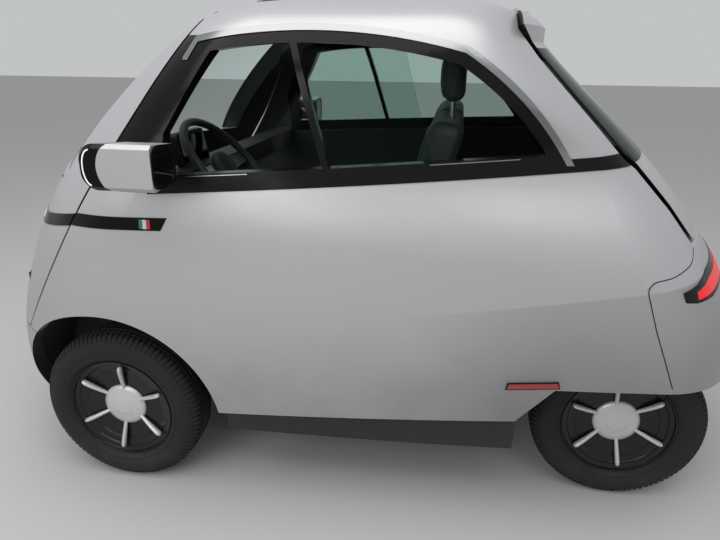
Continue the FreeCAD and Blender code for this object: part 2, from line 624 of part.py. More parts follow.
# Cabin: battery, dashboard bar, steering column, bench and headrests
battery = doc.addObject("Part::Box", "battery_block")
battery.Label = "battery_block"
battery.setExpression("Length", "sizes.battery_length")
battery.setExpression("Width", "sizes.battery_width")
battery.setExpression("Height", "sizes.battery_height")
battery.Placement.Base = Vector(REAR_AXLE + size("bench_rear") + 2 * PLATE + 5,
                                -size("battery_width") / 2, FLOOR_TOP + SEAT)
SUBPARTS.append(battery)

DASH_X = REAR_AXLE + size("dash_ahead")
DASH_HALF = size("dash_deep") / 2
DASH_Z = size("dash_height")
RAKE = radians(size("wheel_rake"))
COLUMN_WAY = Vector(cos(RAKE), 0, -sin(RAKE))
COLUMN_R = size("column_radius")
WHEEL_C = Vector(REAR_AXLE + size("wheel_place"), size("wheel_side"), size("wheel_height"))
HUB_DEEP = 30
column_end = WHEEL_C + COLUMN_WAY * (HUB_DEEP + size("column_length"))
dash = INSIDE.common(block(DASH_X - DASH_HALF, DASH_X + DASH_HALF, -LENGTH, LENGTH,
                           DASH_Z - size("dash_thick"), DASH_Z))
add("dashboard", dash.cut(rod(COLUMN_R + SEAT, WHEEL_C, column_end + COLUMN_WAY * WALL)))
add("steering_column", rod(COLUMN_R, WHEEL_C + COLUMN_WAY * HUB_DEEP, column_end))

ROUND = size("bench_round")
BACK_THICK = size("back_thick")
LEAN = radians(size("back_lean"))
BACK_LONG = (size("back_top") - BENCH_Z) / cos(LEAN)
BENCH_X = REAR_AXLE + size("bench_rear")
# the lowest point of the leaning backrest's rounded foot lies on the cushion
BACK_FOOT = Vector(BENCH_X + size("back_inset"), 0,
                   BENCH_Z + SEAT - ROUND * (sin(LEAN) + cos(LEAN) - 1))
add("bench_cushion", rounded_side_block(BENCH_X, REAR_AXLE + size("bench_front"), -BENCH_HALF, BENCH_HALF,
                                        BENCH_Z - size("bench_thick"), BENCH_Z, ROUND))
back = rounded_side_block(0, BACK_THICK, 30 - BENCH_HALF, BENCH_HALF - 30, 0, BACK_LONG, ROUND)
back.rotate(Vector(), Vector(0, 1, 0), -size("back_lean"))
add("bench_back", back.translated(BACK_FOOT))


def back_top_at(x):
    """Height of the leaning backrest's top face at a place along the car."""
    reach = (x - BACK_FOOT.x + BACK_LONG * sin(LEAN)) / cos(LEAN)
    return BACK_FOOT.z + reach * sin(LEAN) + BACK_LONG * cos(LEAN)


head_x = BACK_FOOT.x - BACK_LONG * sin(LEAN) + BACK_THICK / 2
head_y, head_half, head_deep = size("headrest_side"), size("headrest_half"), size("headrest_deep") / 2
head_z = size("back_top") + size("headrest_rise")
ROD_R = size("headrest_rod")
headrest = rounded_side_block(head_x - head_deep, head_x + head_deep, head_y - head_half, head_y + head_half,
                              head_z, head_z + size("headrest_tall"), ROUND)
for rod_y in (head_y - head_half / 2, head_y + head_half / 2):
    headrest = headrest.fuse(upright(ROD_R, head_x, rod_y, back_top_at(head_x + ROD_R) + SEAT, head_z + ROUND))
add_pair("headrest", headrest)

# Front suspension with its kingpins, knuckles, rear axle and motor
KING_Y = size("kingpin_side")
KING_R = size("kingpin_radius")
HALF_H = size("knuckle_height") / 2
ARM = size("arm_thick")
ARM_HALF = size("arm_length") / 2
ARM_Z = AXLE_Z - HALF_H - 2
BEAM_HALF = size("beam_half")
SPINDLE_R = size("spindle_radius")
SPINDLE_IN = 20
suspension = block(FRONT_AXLE - size("beam_length") / 2, FRONT_AXLE + size("beam_length") / 2,
                   -BEAM_HALF, BEAM_HALF, FLOOR_Z - SEAT - size("beam_height"), FLOOR_Z - SEAT)
for side in (1, -1):
    y0, y1 = sorted((side * (BEAM_HALF - 10), side * (KING_Y + 15)))
    arm = block(FRONT_AXLE - ARM_HALF, FRONT_AXLE + ARM_HALF, y0, y1, ARM_Z - ARM, ARM_Z)
    pin = upright(KING_R, FRONT_AXLE, side * KING_Y, ARM_Z - ARM, AXLE_Z + HALF_H + 10)
    strut = upright(size("strut_radius"), FRONT_AXLE, side * KING_Y, AXLE_Z + HALF_H + 6,
                    AXLE_Z + WELL_R - 20)
    suspension = suspension.fuse([arm, pin, strut])
add("front_suspension", suspension.removeSplitter())

knuckle = block(FRONT_AXLE - size("knuckle_length") / 2, FRONT_AXLE + size("knuckle_length") / 2,
                KING_Y - 20, KING_Y - 20 + size("knuckle_width"), AXLE_Z - HALF_H, AXLE_Z + HALF_H)
spindle = rod(SPINDLE_R, Vector(FRONT_AXLE, KING_Y, AXLE_Z),
              Vector(FRONT_AXLE, size("front_wheel_side") + SPINDLE_IN, AXLE_Z))
king_bore = upright(KING_R + SEAT, FRONT_AXLE, KING_Y, ARM_Z - HALF_H, AXLE_Z + 2 * HALF_H)
add_pair("steering_knuckle", knuckle.fuse(spindle).cut(king_bore))

REAR_Y = size("rear_wheel_side")
AXLE_R = size("axle_radius")
LINK_HALF = size("link_width") / 2
axle = across(AXLE_R, REAR_AXLE, 0, AXLE_Z, REAR_Y - size("axle_end"))
axle = axle.fuse(across(SPINDLE_R, REAR_AXLE, 0, AXLE_Z, REAR_Y + SPINDLE_IN))
for y in (size("link_side"), -size("link_side")):
    axle = axle.fuse(block(REAR_AXLE, REAR_WALL_X - SEAT, y - LINK_HALF, y + LINK_HALF, AXLE_Z - 30, AXLE_Z + 20))
add("rear_axle", axle.removeSplitter())
motor = across(size("motor_radius"), REAR_AXLE + size("motor_ahead"), 0, AXLE_Z + size("motor_rise"),
               size("motor_half"))
add("drive_motor", motor.cut(across(AXLE_R + SEAT, REAR_AXLE, 0, AXLE_Z, REAR_Y)))


# Bodies of sketched outlines: the steering wheel, tyres and rims
def outline(body, name, corners):
    """A closed sketch on the body's XY plane; each corner is two expressions of the sheet."""
    sketch = body.newObject("Sketcher::SketchObject", name)
    plane = [f for f in body.Origin.OriginFeatures if f.Role == "XY_Plane"][0]
    sketch.AttachmentSupport = (plane, [""])
    sketch.MapMode = "FlatFace"
    points = [Vector(sheet.evalExpression(a), sheet.evalExpression(b), 0) for a, b in corners]
    count = len(points)
    for k in range(count):
        sketch.addGeometry(Part.LineSegment(points[k], points[(k + 1) % count]), False)
    for k in range(count):
        sketch.addConstraint(Sketcher.Constraint("Coincident", k, 2, (k + 1) % count, 1))
    for k in range(count):
        for kind, place, value in (("DistanceX", points[k].x, corners[k][0]),
                                   ("DistanceY", points[k].y, corners[k][1])):
            index = sketch.addConstraint(Sketcher.Constraint(kind, -1, 1, k, 1, place))
            sketch.renameConstraint(index, f"{kind}{k}")
            sketch.setExpression(f"Constraints.{kind}{k}", value)
    return sketch


def turn(body, name, corners):
    """Adds a full turn of an outline about the body's Y axis."""
    feature = body.newObject("PartDesign::Revolution", name)
    feature.Profile = outline(body, name + "_outline", corners)
    feature.ReferenceAxis = (feature.Profile[0], ["V_Axis"])
    feature.Angle = 360


def fan(body, name, corners, width, angle, count):
    """Adds copies of a padded outline, spread about the body's Y axis."""
    pad = body.newObject("PartDesign::Pad", name)
    pad.Profile = outline(body, name + "_outline", corners)
    pad.SideType = "Symmetric"
    pad.setExpression("Length", width)
    pattern = body.newObject("PartDesign::PolarPattern", name + "s")
    pattern.Originals = [pad]
    pattern.Axis = ([f for f in body.Origin.OriginFeatures if f.Role == "Y_Axis"][0], [""])
    pattern.Angle = angle
    pattern.Occurrences = count
    body.Tip = pattern


def new_body(label):
    body = doc.addObject("PartDesign::Body", label)
    body.Label = label
    SUBPARTS.append(body)
    return body


wheel = new_body("steering_wheel")
HUB_BACK = f"{HUB_DEEP} - sizes.seat_gap"
turn(wheel, "hub", [("0", "-8"), ("sizes.wheel_hub", "-8"), ("sizes.wheel_hub", HUB_BACK), ("0", HUB_BACK)])
fan(wheel, "spoke", [("sizes.wheel_hub / 2", "-sizes.wheel_spoke"), ("sizes.wheel_ring", "-sizes.wheel_spoke"),
                     ("sizes.wheel_ring", "sizes.wheel_spoke"), ("sizes.wheel_hub / 2", "sizes.wheel_spoke")],
    "2 * sizes.wheel_spoke", 180, 3)
RING_SIDES = 8
ring_angles = [radians(360 / RING_SIDES * (k + 0.5)) for k in range(RING_SIDES)]
turn(wheel, "ring", [(f"sizes.wheel_ring + {cos(a):.6f} * sizes.ring_radius",
                      f"{sin(a):.6f} * sizes.ring_radius") for a in ring_angles])
wheel_up = Vector(sin(RAKE), 0, cos(RAKE))
wheel.Placement = Placement(WHEEL_C, Rotation(Vector(0, -1, 0), COLUMN_WAY, wheel_up, "YXZ"))

# half of a tyre's section, from bead to the middle of the tread
TYRE_HALF = [
    # radius, in from the side
    ("sizes.bead_radius", "14"), ("sizes.bead_radius + 12", "4"), ("sizes.bead_radius + 40", "0"),
    ("sizes.tyre_radius - 26", "8"), ("sizes.tyre_radius - 8", "sizes.tread_shoulder - 6"),
    ("sizes.tyre_radius", "sizes.tread_shoulder + 14")]
TYRE_SECTION = [(radius, f"{inset} - sizes.tyre_width / 2") for radius, inset in TYRE_HALF]
TYRE_SECTION += [(radius, f"sizes.tyre_width / 2 - ({inset})") for radius, inset in reversed(TYRE_HALF)]

# a rim's section: hub bore, hub, dished plate, barrel and cap
BARREL = "sizes.bead_radius - sizes.seat_gap"
BARREL_IN = "sizes.bead_radius - sizes.seat_gap - sizes.rim_wall"
BORE = "sizes.spindle_radius + sizes.seat_gap"
BORE_END = f"{SPINDLE_IN} + sizes.fit_gap"
RIM_HALF = "sizes.rim_width / 2"
RIM_SECTION = [
    # radius, outward
    ("0", BORE_END), (BORE, BORE_END), (BORE, "28 - sizes.hub_depth"), ("sizes.hub_radius", "28 - sizes.hub_depth"),
    ("sizes.hub_radius", "26"), ("sizes.hub_radius + 12", "26"), (BARREL_IN, "44"), (BARREL_IN, "-" + RIM_HALF),
    (BARREL, "-" + RIM_HALF), (BARREL, RIM_HALF), (BARREL_IN, RIM_HALF), (BARREL_IN, "52"),
    ("sizes.cap_radius", "34"), ("sizes.cap_radius", "sizes.cap_rise - 6"),
    ("sizes.cap_radius - 8", "sizes.cap_rise - 1"), ("0", "sizes.cap_rise")]
SPOKE_SIDE = [
    # radius, outward
    ("sizes.cap_radius - 10", "34"), ("sizes.spoke_reach", "46"), ("sizes.spoke_reach", "sizes.spoke_rise - 4"),
    ("sizes.spoke_reach - 6", "sizes.spoke_rise"), ("sizes.cap_radius - 10", "sizes.cap_rise - 1")]
SPOKES = 6

WHEELS = [
    # label, ahead, side, turned by
    ("front_left", FRONT_AXLE, size("front_wheel_side"), -0.086),
    ("front_right", FRONT_AXLE, -size("front_wheel_side"), 0.21),
    ("rear_left", REAR_AXLE, REAR_Y, 0.139),
    ("rear_right", REAR_AXLE, -REAR_Y, -0.3),
]
for label, x, y, phase in WHEELS:
    tyre = new_body("tyre_" + label)
    turn(tyre, "tread", TYRE_SECTION)
    rim = new_body("rim_" + label)
    turn(rim, "dish", RIM_SECTION)
    fan(rim, "spoke", SPOKE_SIDE, "sizes.spoke_width", 360, SPOKES)
    facing = Rotation(Vector(0, 0, 1), 0 if y > 0 else 180)
    spin = Rotation(Vector(0, 1, 0), degrees(phase))
    for node in (tyre, rim):
        node.Placement = Placement(Vector(x, y, AXLE_Z), facing.multiply(spin))

doc.recompute()
for node in doc.Objects:
    if "Invalid" in node.State or "Error" in node.State:
        raise RuntimeError(node.Label + " failed")
os.makedirs("parts", exist_ok=True)
for node in SUBPARTS:
    if node.Shape.isNull() or not node.Shape.isValid() or not node.Shape.Solids:
        raise RuntimeError(node.Label + " has no valid shape")
    print(node.Label, len(node.Shape.Solids), round(node.Shape.Volume / 1e6, 3))
    node.Shape.exportStep("parts/" + node.Label + ".step")
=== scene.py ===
from math import cos, exp, hypot, pi, radians, sin

import bmesh
import bpy
from mathutils import Matrix, Vector
from mathutils.bvhtree import BVHTree


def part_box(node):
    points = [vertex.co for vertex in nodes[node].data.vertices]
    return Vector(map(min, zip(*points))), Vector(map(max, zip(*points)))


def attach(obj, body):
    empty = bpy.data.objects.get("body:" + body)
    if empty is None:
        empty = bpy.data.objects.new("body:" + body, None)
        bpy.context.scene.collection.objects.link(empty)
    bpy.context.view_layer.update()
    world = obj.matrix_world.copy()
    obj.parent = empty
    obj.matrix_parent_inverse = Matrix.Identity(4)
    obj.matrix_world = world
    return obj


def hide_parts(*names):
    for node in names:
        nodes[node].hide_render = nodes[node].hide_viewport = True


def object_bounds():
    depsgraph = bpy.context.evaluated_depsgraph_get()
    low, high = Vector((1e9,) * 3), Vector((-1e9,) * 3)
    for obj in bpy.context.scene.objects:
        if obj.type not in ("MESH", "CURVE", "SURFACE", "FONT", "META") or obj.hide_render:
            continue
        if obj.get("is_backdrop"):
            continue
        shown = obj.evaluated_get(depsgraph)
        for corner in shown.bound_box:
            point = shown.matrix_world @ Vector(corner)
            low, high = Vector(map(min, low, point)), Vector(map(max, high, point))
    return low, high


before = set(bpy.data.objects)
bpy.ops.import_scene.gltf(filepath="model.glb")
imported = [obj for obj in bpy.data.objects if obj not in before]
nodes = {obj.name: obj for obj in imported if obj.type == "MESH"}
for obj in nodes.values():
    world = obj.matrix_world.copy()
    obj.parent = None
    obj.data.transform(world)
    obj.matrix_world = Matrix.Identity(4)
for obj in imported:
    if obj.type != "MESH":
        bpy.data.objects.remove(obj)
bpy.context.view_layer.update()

REAR_AXLE, FRONT_AXLE = -0.8755, 0.6955

# Body panels: pressed steel sides, roof, door and tailgate, all sprayed the same
# matte metallic silver. The bumpers are moulded plastic in the same paint. The
# backs of the panels carry grained black trim. Towards the sills the paint turns
# darker and warmer: painted shade, with a rougher, dusty finish.


class Field:
    """A value that changes over a surface. It can be added, multiplied and so on."""

    def __init__(self, finish, socket):
        self.finish = finish
        self.socket = socket

    def maths(self, operation, *values):
        return self.finish.node("ShaderNodeMath", {"operation": operation}, *values)

    def __add__(self, other):
        return self.maths("ADD", self, other)

    def __sub__(self, other):
        return self.maths("SUBTRACT", self, other)

    def __rsub__(self, other):
        return self.maths("SUBTRACT", other, self)

    def __mul__(self, other):
        return self.maths("MULTIPLY", self, other)

    __radd__ = __add__
    __rmul__ = __mul__

    def between(self, low, high):
        """0 at low, 1 at high, and smooth between them."""
        return self.finish.node("ShaderNodeMapRange", {"interpolation_type": "SMOOTHSTEP"},
                                self, low, high, 0.0, 1.0)

    def wave(self, pitch):
        """A sine between -1 and 1 that repeats with the pitch."""
        return self.maths("SINE", self * (2 * pi / pitch))


class Finish:
    """A material in the making: one shader and the fields that feed it."""

    def __init__(self, name, colour, roughness, metallic=0.0, **sockets):
        self.material = bpy.data.materials.new(name)
        self.material.use_nodes = True
        self.tree = self.material.node_tree
        self.shader = self.tree.nodes["Principled BSDF"]
        self.set("Base Color", (*colour, 1.0))
        self.set("Roughness", roughness)
        self.set("Metallic", metallic)
        for socket, value in sockets.items():
            self.set(socket.replace("_", " ").title().replace("Ior", "IOR"), value)

    def set(self, socket, value):
        self.feed(self.shader.inputs[socket], value)

    def feed(self, socket, value):
        if isinstance(value, Field):
            self.tree.links.new(value.socket, socket)
        else:
            socket.default_value = value

    def node(self, kind, settings=None, *values, out=0, **named):
        """Adds a node: its settings first, then the values or fields of its sockets."""
        made = self.tree.nodes.new(kind)
        for key, value in (settings or {}).items():
            setattr(made, key, value)
        for key, value in [*enumerate(values), *named.items()]:
            self.feed(made.inputs[key], value)
        return Field(self, made.outputs[out])

    def place(self):
        """The place on the piece at rest, as x, y and z fields."""
        point = self.node("ShaderNodeTexCoord", out="Object")
        split = self.node("ShaderNodeSeparateXYZ", None, point)
        return [Field(self, s) for s in split.socket.node.outputs]

    def noise(self, scale, detail=2.0, rough=0.5, stretch=(1.0, 1.0, 1.0)):
        """Smooth noise around 0.5, in cells of 1/scale metres."""
        point = self.node("ShaderNodeTexCoord", out="Object")
        moved = self.node("ShaderNodeMapping", None, point, (0, 0, 0), (0, 0, 0), stretch)
        return self.node("ShaderNodeTexNoise", None, Vector=moved, Scale=scale, Detail=detail,
                         Roughness=rough)

    def blend(self, factor, first, second):
        """Mixes two colours, by a factor of 0 to 1."""
        made = self.tree.nodes.new("ShaderNodeMix")
        made.data_type = "RGBA"
        sockets = [s for s in made.inputs if s.type == "RGBA"]
        self.feed(made.inputs[0], factor)
        self.feed(sockets[0], first)
        self.feed(sockets[1], second)
        return Field(self, [s for s in made.outputs if s.type == "RGBA"][0])

    def relief(self, height, strength=1.0):
        """Raises the surface in shading by a height field in metres."""
        self.set("Normal", self.node("ShaderNodeBump", None, Height=height, Distance=1.0, Strength=strength))


def dress(finish, *names):
    """Gives CAD nodes their finish."""
    for name in names:
        slots = nodes[name].data.materials
        slots.clear()
        slots.append(finish.material)


def sides(name):
    return [f"{name}_left", f"{name}_right"]


def shaded(colour, share):
    return (*[c * share for c in colour], 1.0)


SILVER = (0.50, 0.495, 0.507)
TRIM_BLACK = (0.020, 0.020, 0.022)
# the warm dark colour of the painted shade low on the flanks
SHADE_AND_DUST = (0.235, 0.205, 0.182)
CABIN_MIDDLE = (0.1, 0.0, 0.85)
TRIM_FROM, TRIM_FULL = 0.30, 0.36
# how high the painted shade on the lower flank reaches, how far it fades and how strong it is
SHADE_AND_DUST_TOP, SHADE_AND_DUST_FADE, SHADE_AND_DUST_SHARE = 0.80, 0.50, 0.55
CREASE_X, CREASE_Z, CREASE_SLOPE = -0.28, 0.689, 0.137
CREASE_START, CREASE_FADE, CREASE_DEEP = -0.12, 0.55, 0.40


def inward(finish):
    """1 on faces that look towards the middle of the cabin, 0 on the outside."""
    point = finish.node("ShaderNodeTexCoord", out="Object")
    facing = finish.node("ShaderNodeTexCoord", out="Normal")
    out = finish.node("ShaderNodeVectorMath", {"operation": "SUBTRACT"}, point, CABIN_MIDDLE)
    out = finish.node("ShaderNodeVectorMath", {"operation": "NORMALIZE"}, out)
    dot = finish.node("ShaderNodeVectorMath", {"operation": "DOT_PRODUCT"}, out, facing, out="Value")
    return (dot * -1.0).between(TRIM_FROM, TRIM_FULL)


def paint(name, colour):
    """Metallic paint outside, black trim on the inside."""
    finish = Finish(name, colour, 0.36, 0.5, coat_weight=0.12, coat_roughness=0.3)
    along, _, up = finish.place()
    flake = finish.noise(1400, 1.0)
    cloud = finish.noise(5, 3.0)
    trim = inward(finish)
    # darker and warmer towards the bottom: painted shade, which also makes the paint rougher there
    shade_and_dust = (SHADE_AND_DUST_TOP - up).between(0.0, SHADE_AND_DUST_FADE) * (0.6 + cloud.between(0.25, 0.75) * 0.4) * SHADE_AND_DUST_SHARE
    shade = finish.blend(flake.between(0.35, 0.65), shaded(colour, 0.95), shaded(colour, 1.05))
    shade = finish.blend(shade_and_dust, shade, shaded(SHADE_AND_DUST, 1))
    grain = finish.noise(700, 2.0)
    finish.set("Base Color", finish.blend(trim, shade, shaded(TRIM_BLACK, 1)))
    finish.set("Roughness", (0.36 + flake * 0.05 + shade_and_dust * 0.5) * (1 - trim) + trim * 0.55)
    finish.set("Metallic", 0.5 * (1 - trim))
    # the crease that fades in along the rear wing, where the flank tucks under
    crease = CREASE_Z - (along - CREASE_X) * CREASE_SLOPE - up
    under = crease.maths("MAXIMUM", crease, 0.0)
    tuck = under * (CREASE_START - along).between(0.0, CREASE_FADE) * CREASE_DEEP
    finish.relief((flake - 0.5) * 0.00002 - tuck * (1 - trim) + grain * trim * 0.0003)
    return finish


silver = paint("silver_paint", SILVER)
dress(silver, *sides("side_panel"), "roof_panel", "tailgate_panel", "front_door_panel", "front_bumper",
      "rear_bumper", *sides("lamp_mirror_pod"))

# Side strips: gloss black mouldings stuck to the wings, in line with the light bar
# on the nose. The left and right ones end in a small enamelled patch of three bands.


def skin_of(*names):
    """The skin of CAD nodes, for thin pieces that lie on it."""
    points, faces = [], []
    for name in names:
        mesh = nodes[name].data
        start = len(points)
        points += [v.co.copy() for v in mesh.vertices]
        faces += [[start + i for i in p.vertices] for p in mesh.polygons]
    return BVHTree.FromPolygons(points, faces)


def landing(skin, start, way):
    """The point where a line meets a skin, or else the nearest point, and the normal facing back."""
    start, way = Vector(start), Vector(way).normalized()
    point, normal, _, _ = skin.ray_cast(start, way)
    if point is None:
        point, normal, _, _ = skin.find_nearest(start + way * 0.25)
    return point, (-normal if normal.dot(way) > 0 else normal).normalized()


SEAM_STEP, FLANK_Y, FLANK_FACING = 0.0005, 0.6, 0.4


def foremost(skin, side, height, start, back):
    """The foremost place at which a line from the side meets a panel's outer face."""
    x = start
    while x > back:
        point, normal, _, _ = skin.ray_cast(Vector((x, side, height)), Vector((0, -side, 0)))
        if point is not None and abs(point.y) > FLANK_Y and abs(normal.y) > FLANK_FACING:
            return x
        x -= SEAM_STEP
    return back


def grid_faces(rows, columns, start=0, closed=False):
    """Quads over rows of points; closed joins each row's end to its start."""
    last = columns if closed else columns - 1
    return [(start + r * columns + c, start + r * columns + (c + 1) % columns,
             start + (r + 1) * columns + (c + 1) % columns, start + (r + 1) * columns + c)
            for r in range(rows - 1) for c in range(last)]


def sheet_faces(rows, columns):
    """The faces of a closed plate: a grid of points on top, the same below, and the rim."""
    count = rows * columns
    faces = grid_faces(rows, columns)
    faces += [tuple(reversed([count + i for i in face])) for face in faces]
    rim = [*range(columns), *[r * columns + columns - 1 for r in range(1, rows)],
           *range(count - 2, count - columns - 1, -1), *[r * columns for r in range(rows - 2, 0, -1)]]
    faces += [(rim[k], rim[(k + 1) % len(rim)], count + rim[(k + 1) % len(rim)], count + rim[k])
              for k in range(len(rim))]
    return faces


def piece(name, points, faces, finish, body, replaced=(), sharp=35):
    """A new piece in its finish that rides on a body."""
    mesh = bpy.data.meshes.new(name)
    mesh.from_pydata([tuple(p) for p in points], [], faces)
    work = bmesh.new()
    work.from_mesh(mesh)
    bmesh.ops.recalc_face_normals(work, faces=work.faces)
    work.to_mesh(mesh)
    work.free()
    mesh.polygons.foreach_set("use_smooth", [True] * len(mesh.polygons))
    mesh.set_sharp_from_angle(angle=radians(sharp))
    mesh.materials.append(finish.material)
    made = bpy.data.objects.new(name, mesh)
    bpy.context.scene.collection.objects.link(made)
    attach(made, body)
    if replaced:
        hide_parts(*replaced)
    return made


def laid_plate(name, skin, rows, way, lift, finish, body, sink=0.0006):
    """A thin closed plate on a skin: rows of start points, sent along way until they land."""
    top, bottom = [], []
    for start in (point for row in rows for point in row):
        point, normal = landing(skin, start, way(start) if callable(way) else way)
        top.append(point + normal * lift)
        bottom.append(point - normal * sink)
    return piece(name, top + bottom, sheet_faces(len(rows), len(rows[0])), finish, body)


def side_rows(side, low, high, front, rear, slant=0.0, count=24):
    """Rows of start points beside the car, for a band between two heights."""
    rows = []
    for v in range(4):
        share = v / 3
        long = rear + slant * (1 - share) - front
        rows.append([(front + slant * 0.4 * (share - 1) + long * u / (count - 1), side * 1.0,
                      low + (high - low) * share) for u in range(count)])
    return rows


gloss_black = Finish("gloss_black", (0.006, 0.006, 0.007), 0.12, specular_ior_level=0.16)
wiped = gloss_black.noise(60, 3.0, 0.6, (1.0, 1.0, 6.0))
gloss_black.set("Roughness", 0.08 + wiped * 0.12)
ENAMELS = [("green", (0.02, 0.20, 0.08)), ("white", (0.62, 0.62, 0.60)), ("red", (0.50, 0.03, 0.04))]
enamel = {}
for name, colour in ENAMELS:
    enamel[name] = Finish("enamel_" + name, colour, 0.25, coat_weight=0.5)
    speck = enamel[name].noise(900, 2.0)
    enamel[name].set("Roughness", 0.2 + speck * 0.12)
STRIP_LOW, STRIP_HIGH = 0.889, 0.925
STRIP_FRONT, STRIP_REAR, STRIP_SLANT, STRIP_RISE = 0.735, 0.4335, 0.034, 0.006
SEAM_AHEAD, SEAM_BEHIND = 0.04, 0.03
PATCH_LOW, PATCH_HIGH, BAND_START, BAND_WIDE = 0.899, 0.924, 0.513, 0.0105
STRIP_PROUD, PATCH_PROUD, PATCH_SINK = 0.0022, 0.0029, -0.0015
for side, tag in ((1, "left"), (-1, "right")):
    panel = skin_of("side_panel_" + tag)
    rows = side_rows(side, STRIP_LOW, STRIP_HIGH, STRIP_FRONT, STRIP_REAR, STRIP_SLANT)
    for row in rows:
        low, end, last = row[0][2], row[-1][0], len(row) - 1
        seam = foremost(panel, side, low, STRIP_FRONT + SEAM_AHEAD, STRIP_FRONT - SEAM_BEHIND)
        row[:] = [(end + (seam - end) * (1 - u / last), side, low + STRIP_RISE * u / last)
                  for u in range(last + 1)]
    laid_plate("strip_" + tag, panel, rows, (0, -side, 0), STRIP_PROUD, gloss_black, "body")
    for k, (name, _) in enumerate(ENAMELS):
        start = BAND_START - BAND_WIDE * k
        rows = side_rows(side, PATCH_LOW, PATCH_HIGH, start, start - BAND_WIDE, 0, 4)
        laid_plate(f"patch_{name}_{tag}", panel, rows, (0, -side, 0), PATCH_PROUD, enamel[name], "body",
                   sink=PATCH_SINK)

# Side reflectors: red ribbed lenses let into the flanks ahead of the rear wheels,
# each in a thin dark bezel.
reflector_red = Finish("reflector_red", (0.30, 0.012, 0.018), 0.22, coat_weight=1.0, coat_roughness=0.05)
along, _, up = reflector_red.place()
reflector_red.relief(along.wave(0.004) * up.wave(0.004) * 0.0003)
LENS_LOW, LENS_HIGH, LENS_FRONT, LENS_REAR = 0.472, 0.488, -0.507, -0.639
LENS_SLANT, LENS_RISE = -0.010, 0.07
REFLECTOR_PARTS = [
    # name, border round the lens, height above the paint, finish, slot
    ("reflector_bezel_", 0.0035, 0.0022, gloss_black, "gloss_black"),
    ("reflector_", 0.0, 0.0034, reflector_red, "lamp_red")]
for side, tag in ((1, "left"), (-1, "right")):
    panel = skin_of("side_panel_" + tag)
    for name, border, proud, finish, slot in REFLECTOR_PARTS:
        rows = side_rows(side, LENS_LOW - border, LENS_HIGH + border, LENS_FRONT + border, LENS_REAR - border,
                         LENS_SLANT)
        rows = [[(x, y, z + (LENS_FRONT - x) * LENS_RISE) for x, y, z in row] for row in rows]
        laid_plate(name + tag, panel, rows, (0, -side, 0), proud, finish, "body")

# Window frames, pillar covers and belt strips: gloss black mouldings, with fine
# wiping marks. A brushed metal strip runs over the arch, and two short thin rails
# hold the glass at the sill.
dress(gloss_black, *sides("window_frame"), *sides("headlamp_lens"), "front_light_bar", "tail_light_bar")
bright = Finish("bright_trim", (0.34, 0.35, 0.35), 0.26, 1.0)
brushed = bright.noise(300, 2.0, 0.6, (0.06, 1.0, 1.0))
bright.set("Roughness", 0.22 + brushed * 0.05)
dress(bright, *sides("window_trim"))


BELT_Z, BELT_FRONT, BELT_SLOPE, BELT_WIDE = 0.993, 1.360, 0.062, 0.034


def belt_top(x):
    """The height of the belt strip's upper edge."""
    return BELT_Z + (BELT_FRONT - (x - REAR_AXLE)) * BELT_SLOPE + BELT_WIDE


RAILS = [("front", 0.3775, 0.2125), ("rear", -0.2555, -0.4855)]
RAIL_RISES, RAIL_STEPS, RAIL_PROUD = (0.0070, 0.0082, 0.0094), 24, 0.0014
for side, tag in ((1, "left"), (-1, "right")):
    frame_skin = skin_of("window_frame_" + tag)
    for name, front, rear in RAILS:
        stations = [front + (rear - front) * k / RAIL_STEPS for k in range(RAIL_STEPS + 1)]
        rows = [[(x, side * 1.0, belt_top(x) + rise) for x in stations] for rise in RAIL_RISES]
        laid_plate(f"glass_rail_{name}_{tag}", frame_skin, rows, (0, -side, 0), RAIL_PROUD, bright, "body")

# Windows: curved safety glass with a slight green tint, clear enough to see the
# cabin through both sides. The rear window is darker.
GLASS_IOR = 1.5


def clear_glass(name, tint):
    """Glass as a see-through tint with a mirror skin that grows at grazing angles."""
    finish = Finish(name, (0.02, 0.025, 0.024), 0.02)
    through = finish.node("ShaderNodeBsdfTransparent", None, tint)
    behind = finish.node("ShaderNodeNewGeometry", out="Backfacing")
    edge = finish.node("ShaderNodeFresnel", None, GLASS_IOR) * (1 - behind)
    smear = finish.noise(9, 4.0, 0.6)
    finish.set("Roughness", 0.01 + smear.between(0.5, 0.9) * 0.06)
    mixed = finish.node("ShaderNodeMixShader", None, edge, through, Field(finish, finish.shader.outputs[0]))
    finish.feed(finish.tree.nodes["Material Output"].inputs["Surface"], mixed)
    finish.material.surface_render_method = "BLENDED"
    return finish


glass = clear_glass("window_glass", (0.86, 0.92, 0.90, 1.0))
dress(glass, *sides("rear_side_window"), *sides("sliding_window"), "windscreen")
rear_glass = clear_glass("rear_glass", (0.30, 0.34, 0.33, 1.0))
dress(rear_glass, "rear_window")

# Nose lamp: a white ribbed light strip let into the middle of the gloss black bar on
# the door. A dark strip above it, at the edge of the cowl, is painted shade for the groove there.
# white glow of the LEDs, used also for the painted highlight along the lens edge
led_and_highlight_white = Finish("led_and_highlight_white", (0.80, 0.83, 0.86), 0.20, coat_weight=1.0, coat_roughness=0.04)
led_and_highlight_white.set("Emission Color", (0.9, 0.95, 1.0, 1.0))
led_and_highlight_white.set("Emission Strength", 0.35)
_, across, _ = led_and_highlight_white.place()
led_and_highlight_white.relief(across.wave(0.012) * 0.0004)
BAR_Z, BAR_NOSE, BAR_SLOPE, BAR_FIRST = 0.853, 1.893, 0.18, 1.0
NOSE_MIDDLE, NOSE_REACH, NOSE_TRIES = 0.30, 1.4, 4


def bar_height(x):
    """The height of the middle of the bar on the nose, which rises towards the seams."""
    return BAR_Z + (BAR_NOSE - (x - REAR_AXLE)) * BAR_SLOPE


def to_nose(start):
    """The way from a start point in to the middle of the nose."""
    return (NOSE_MIDDLE - start[0], -start[1], 0)


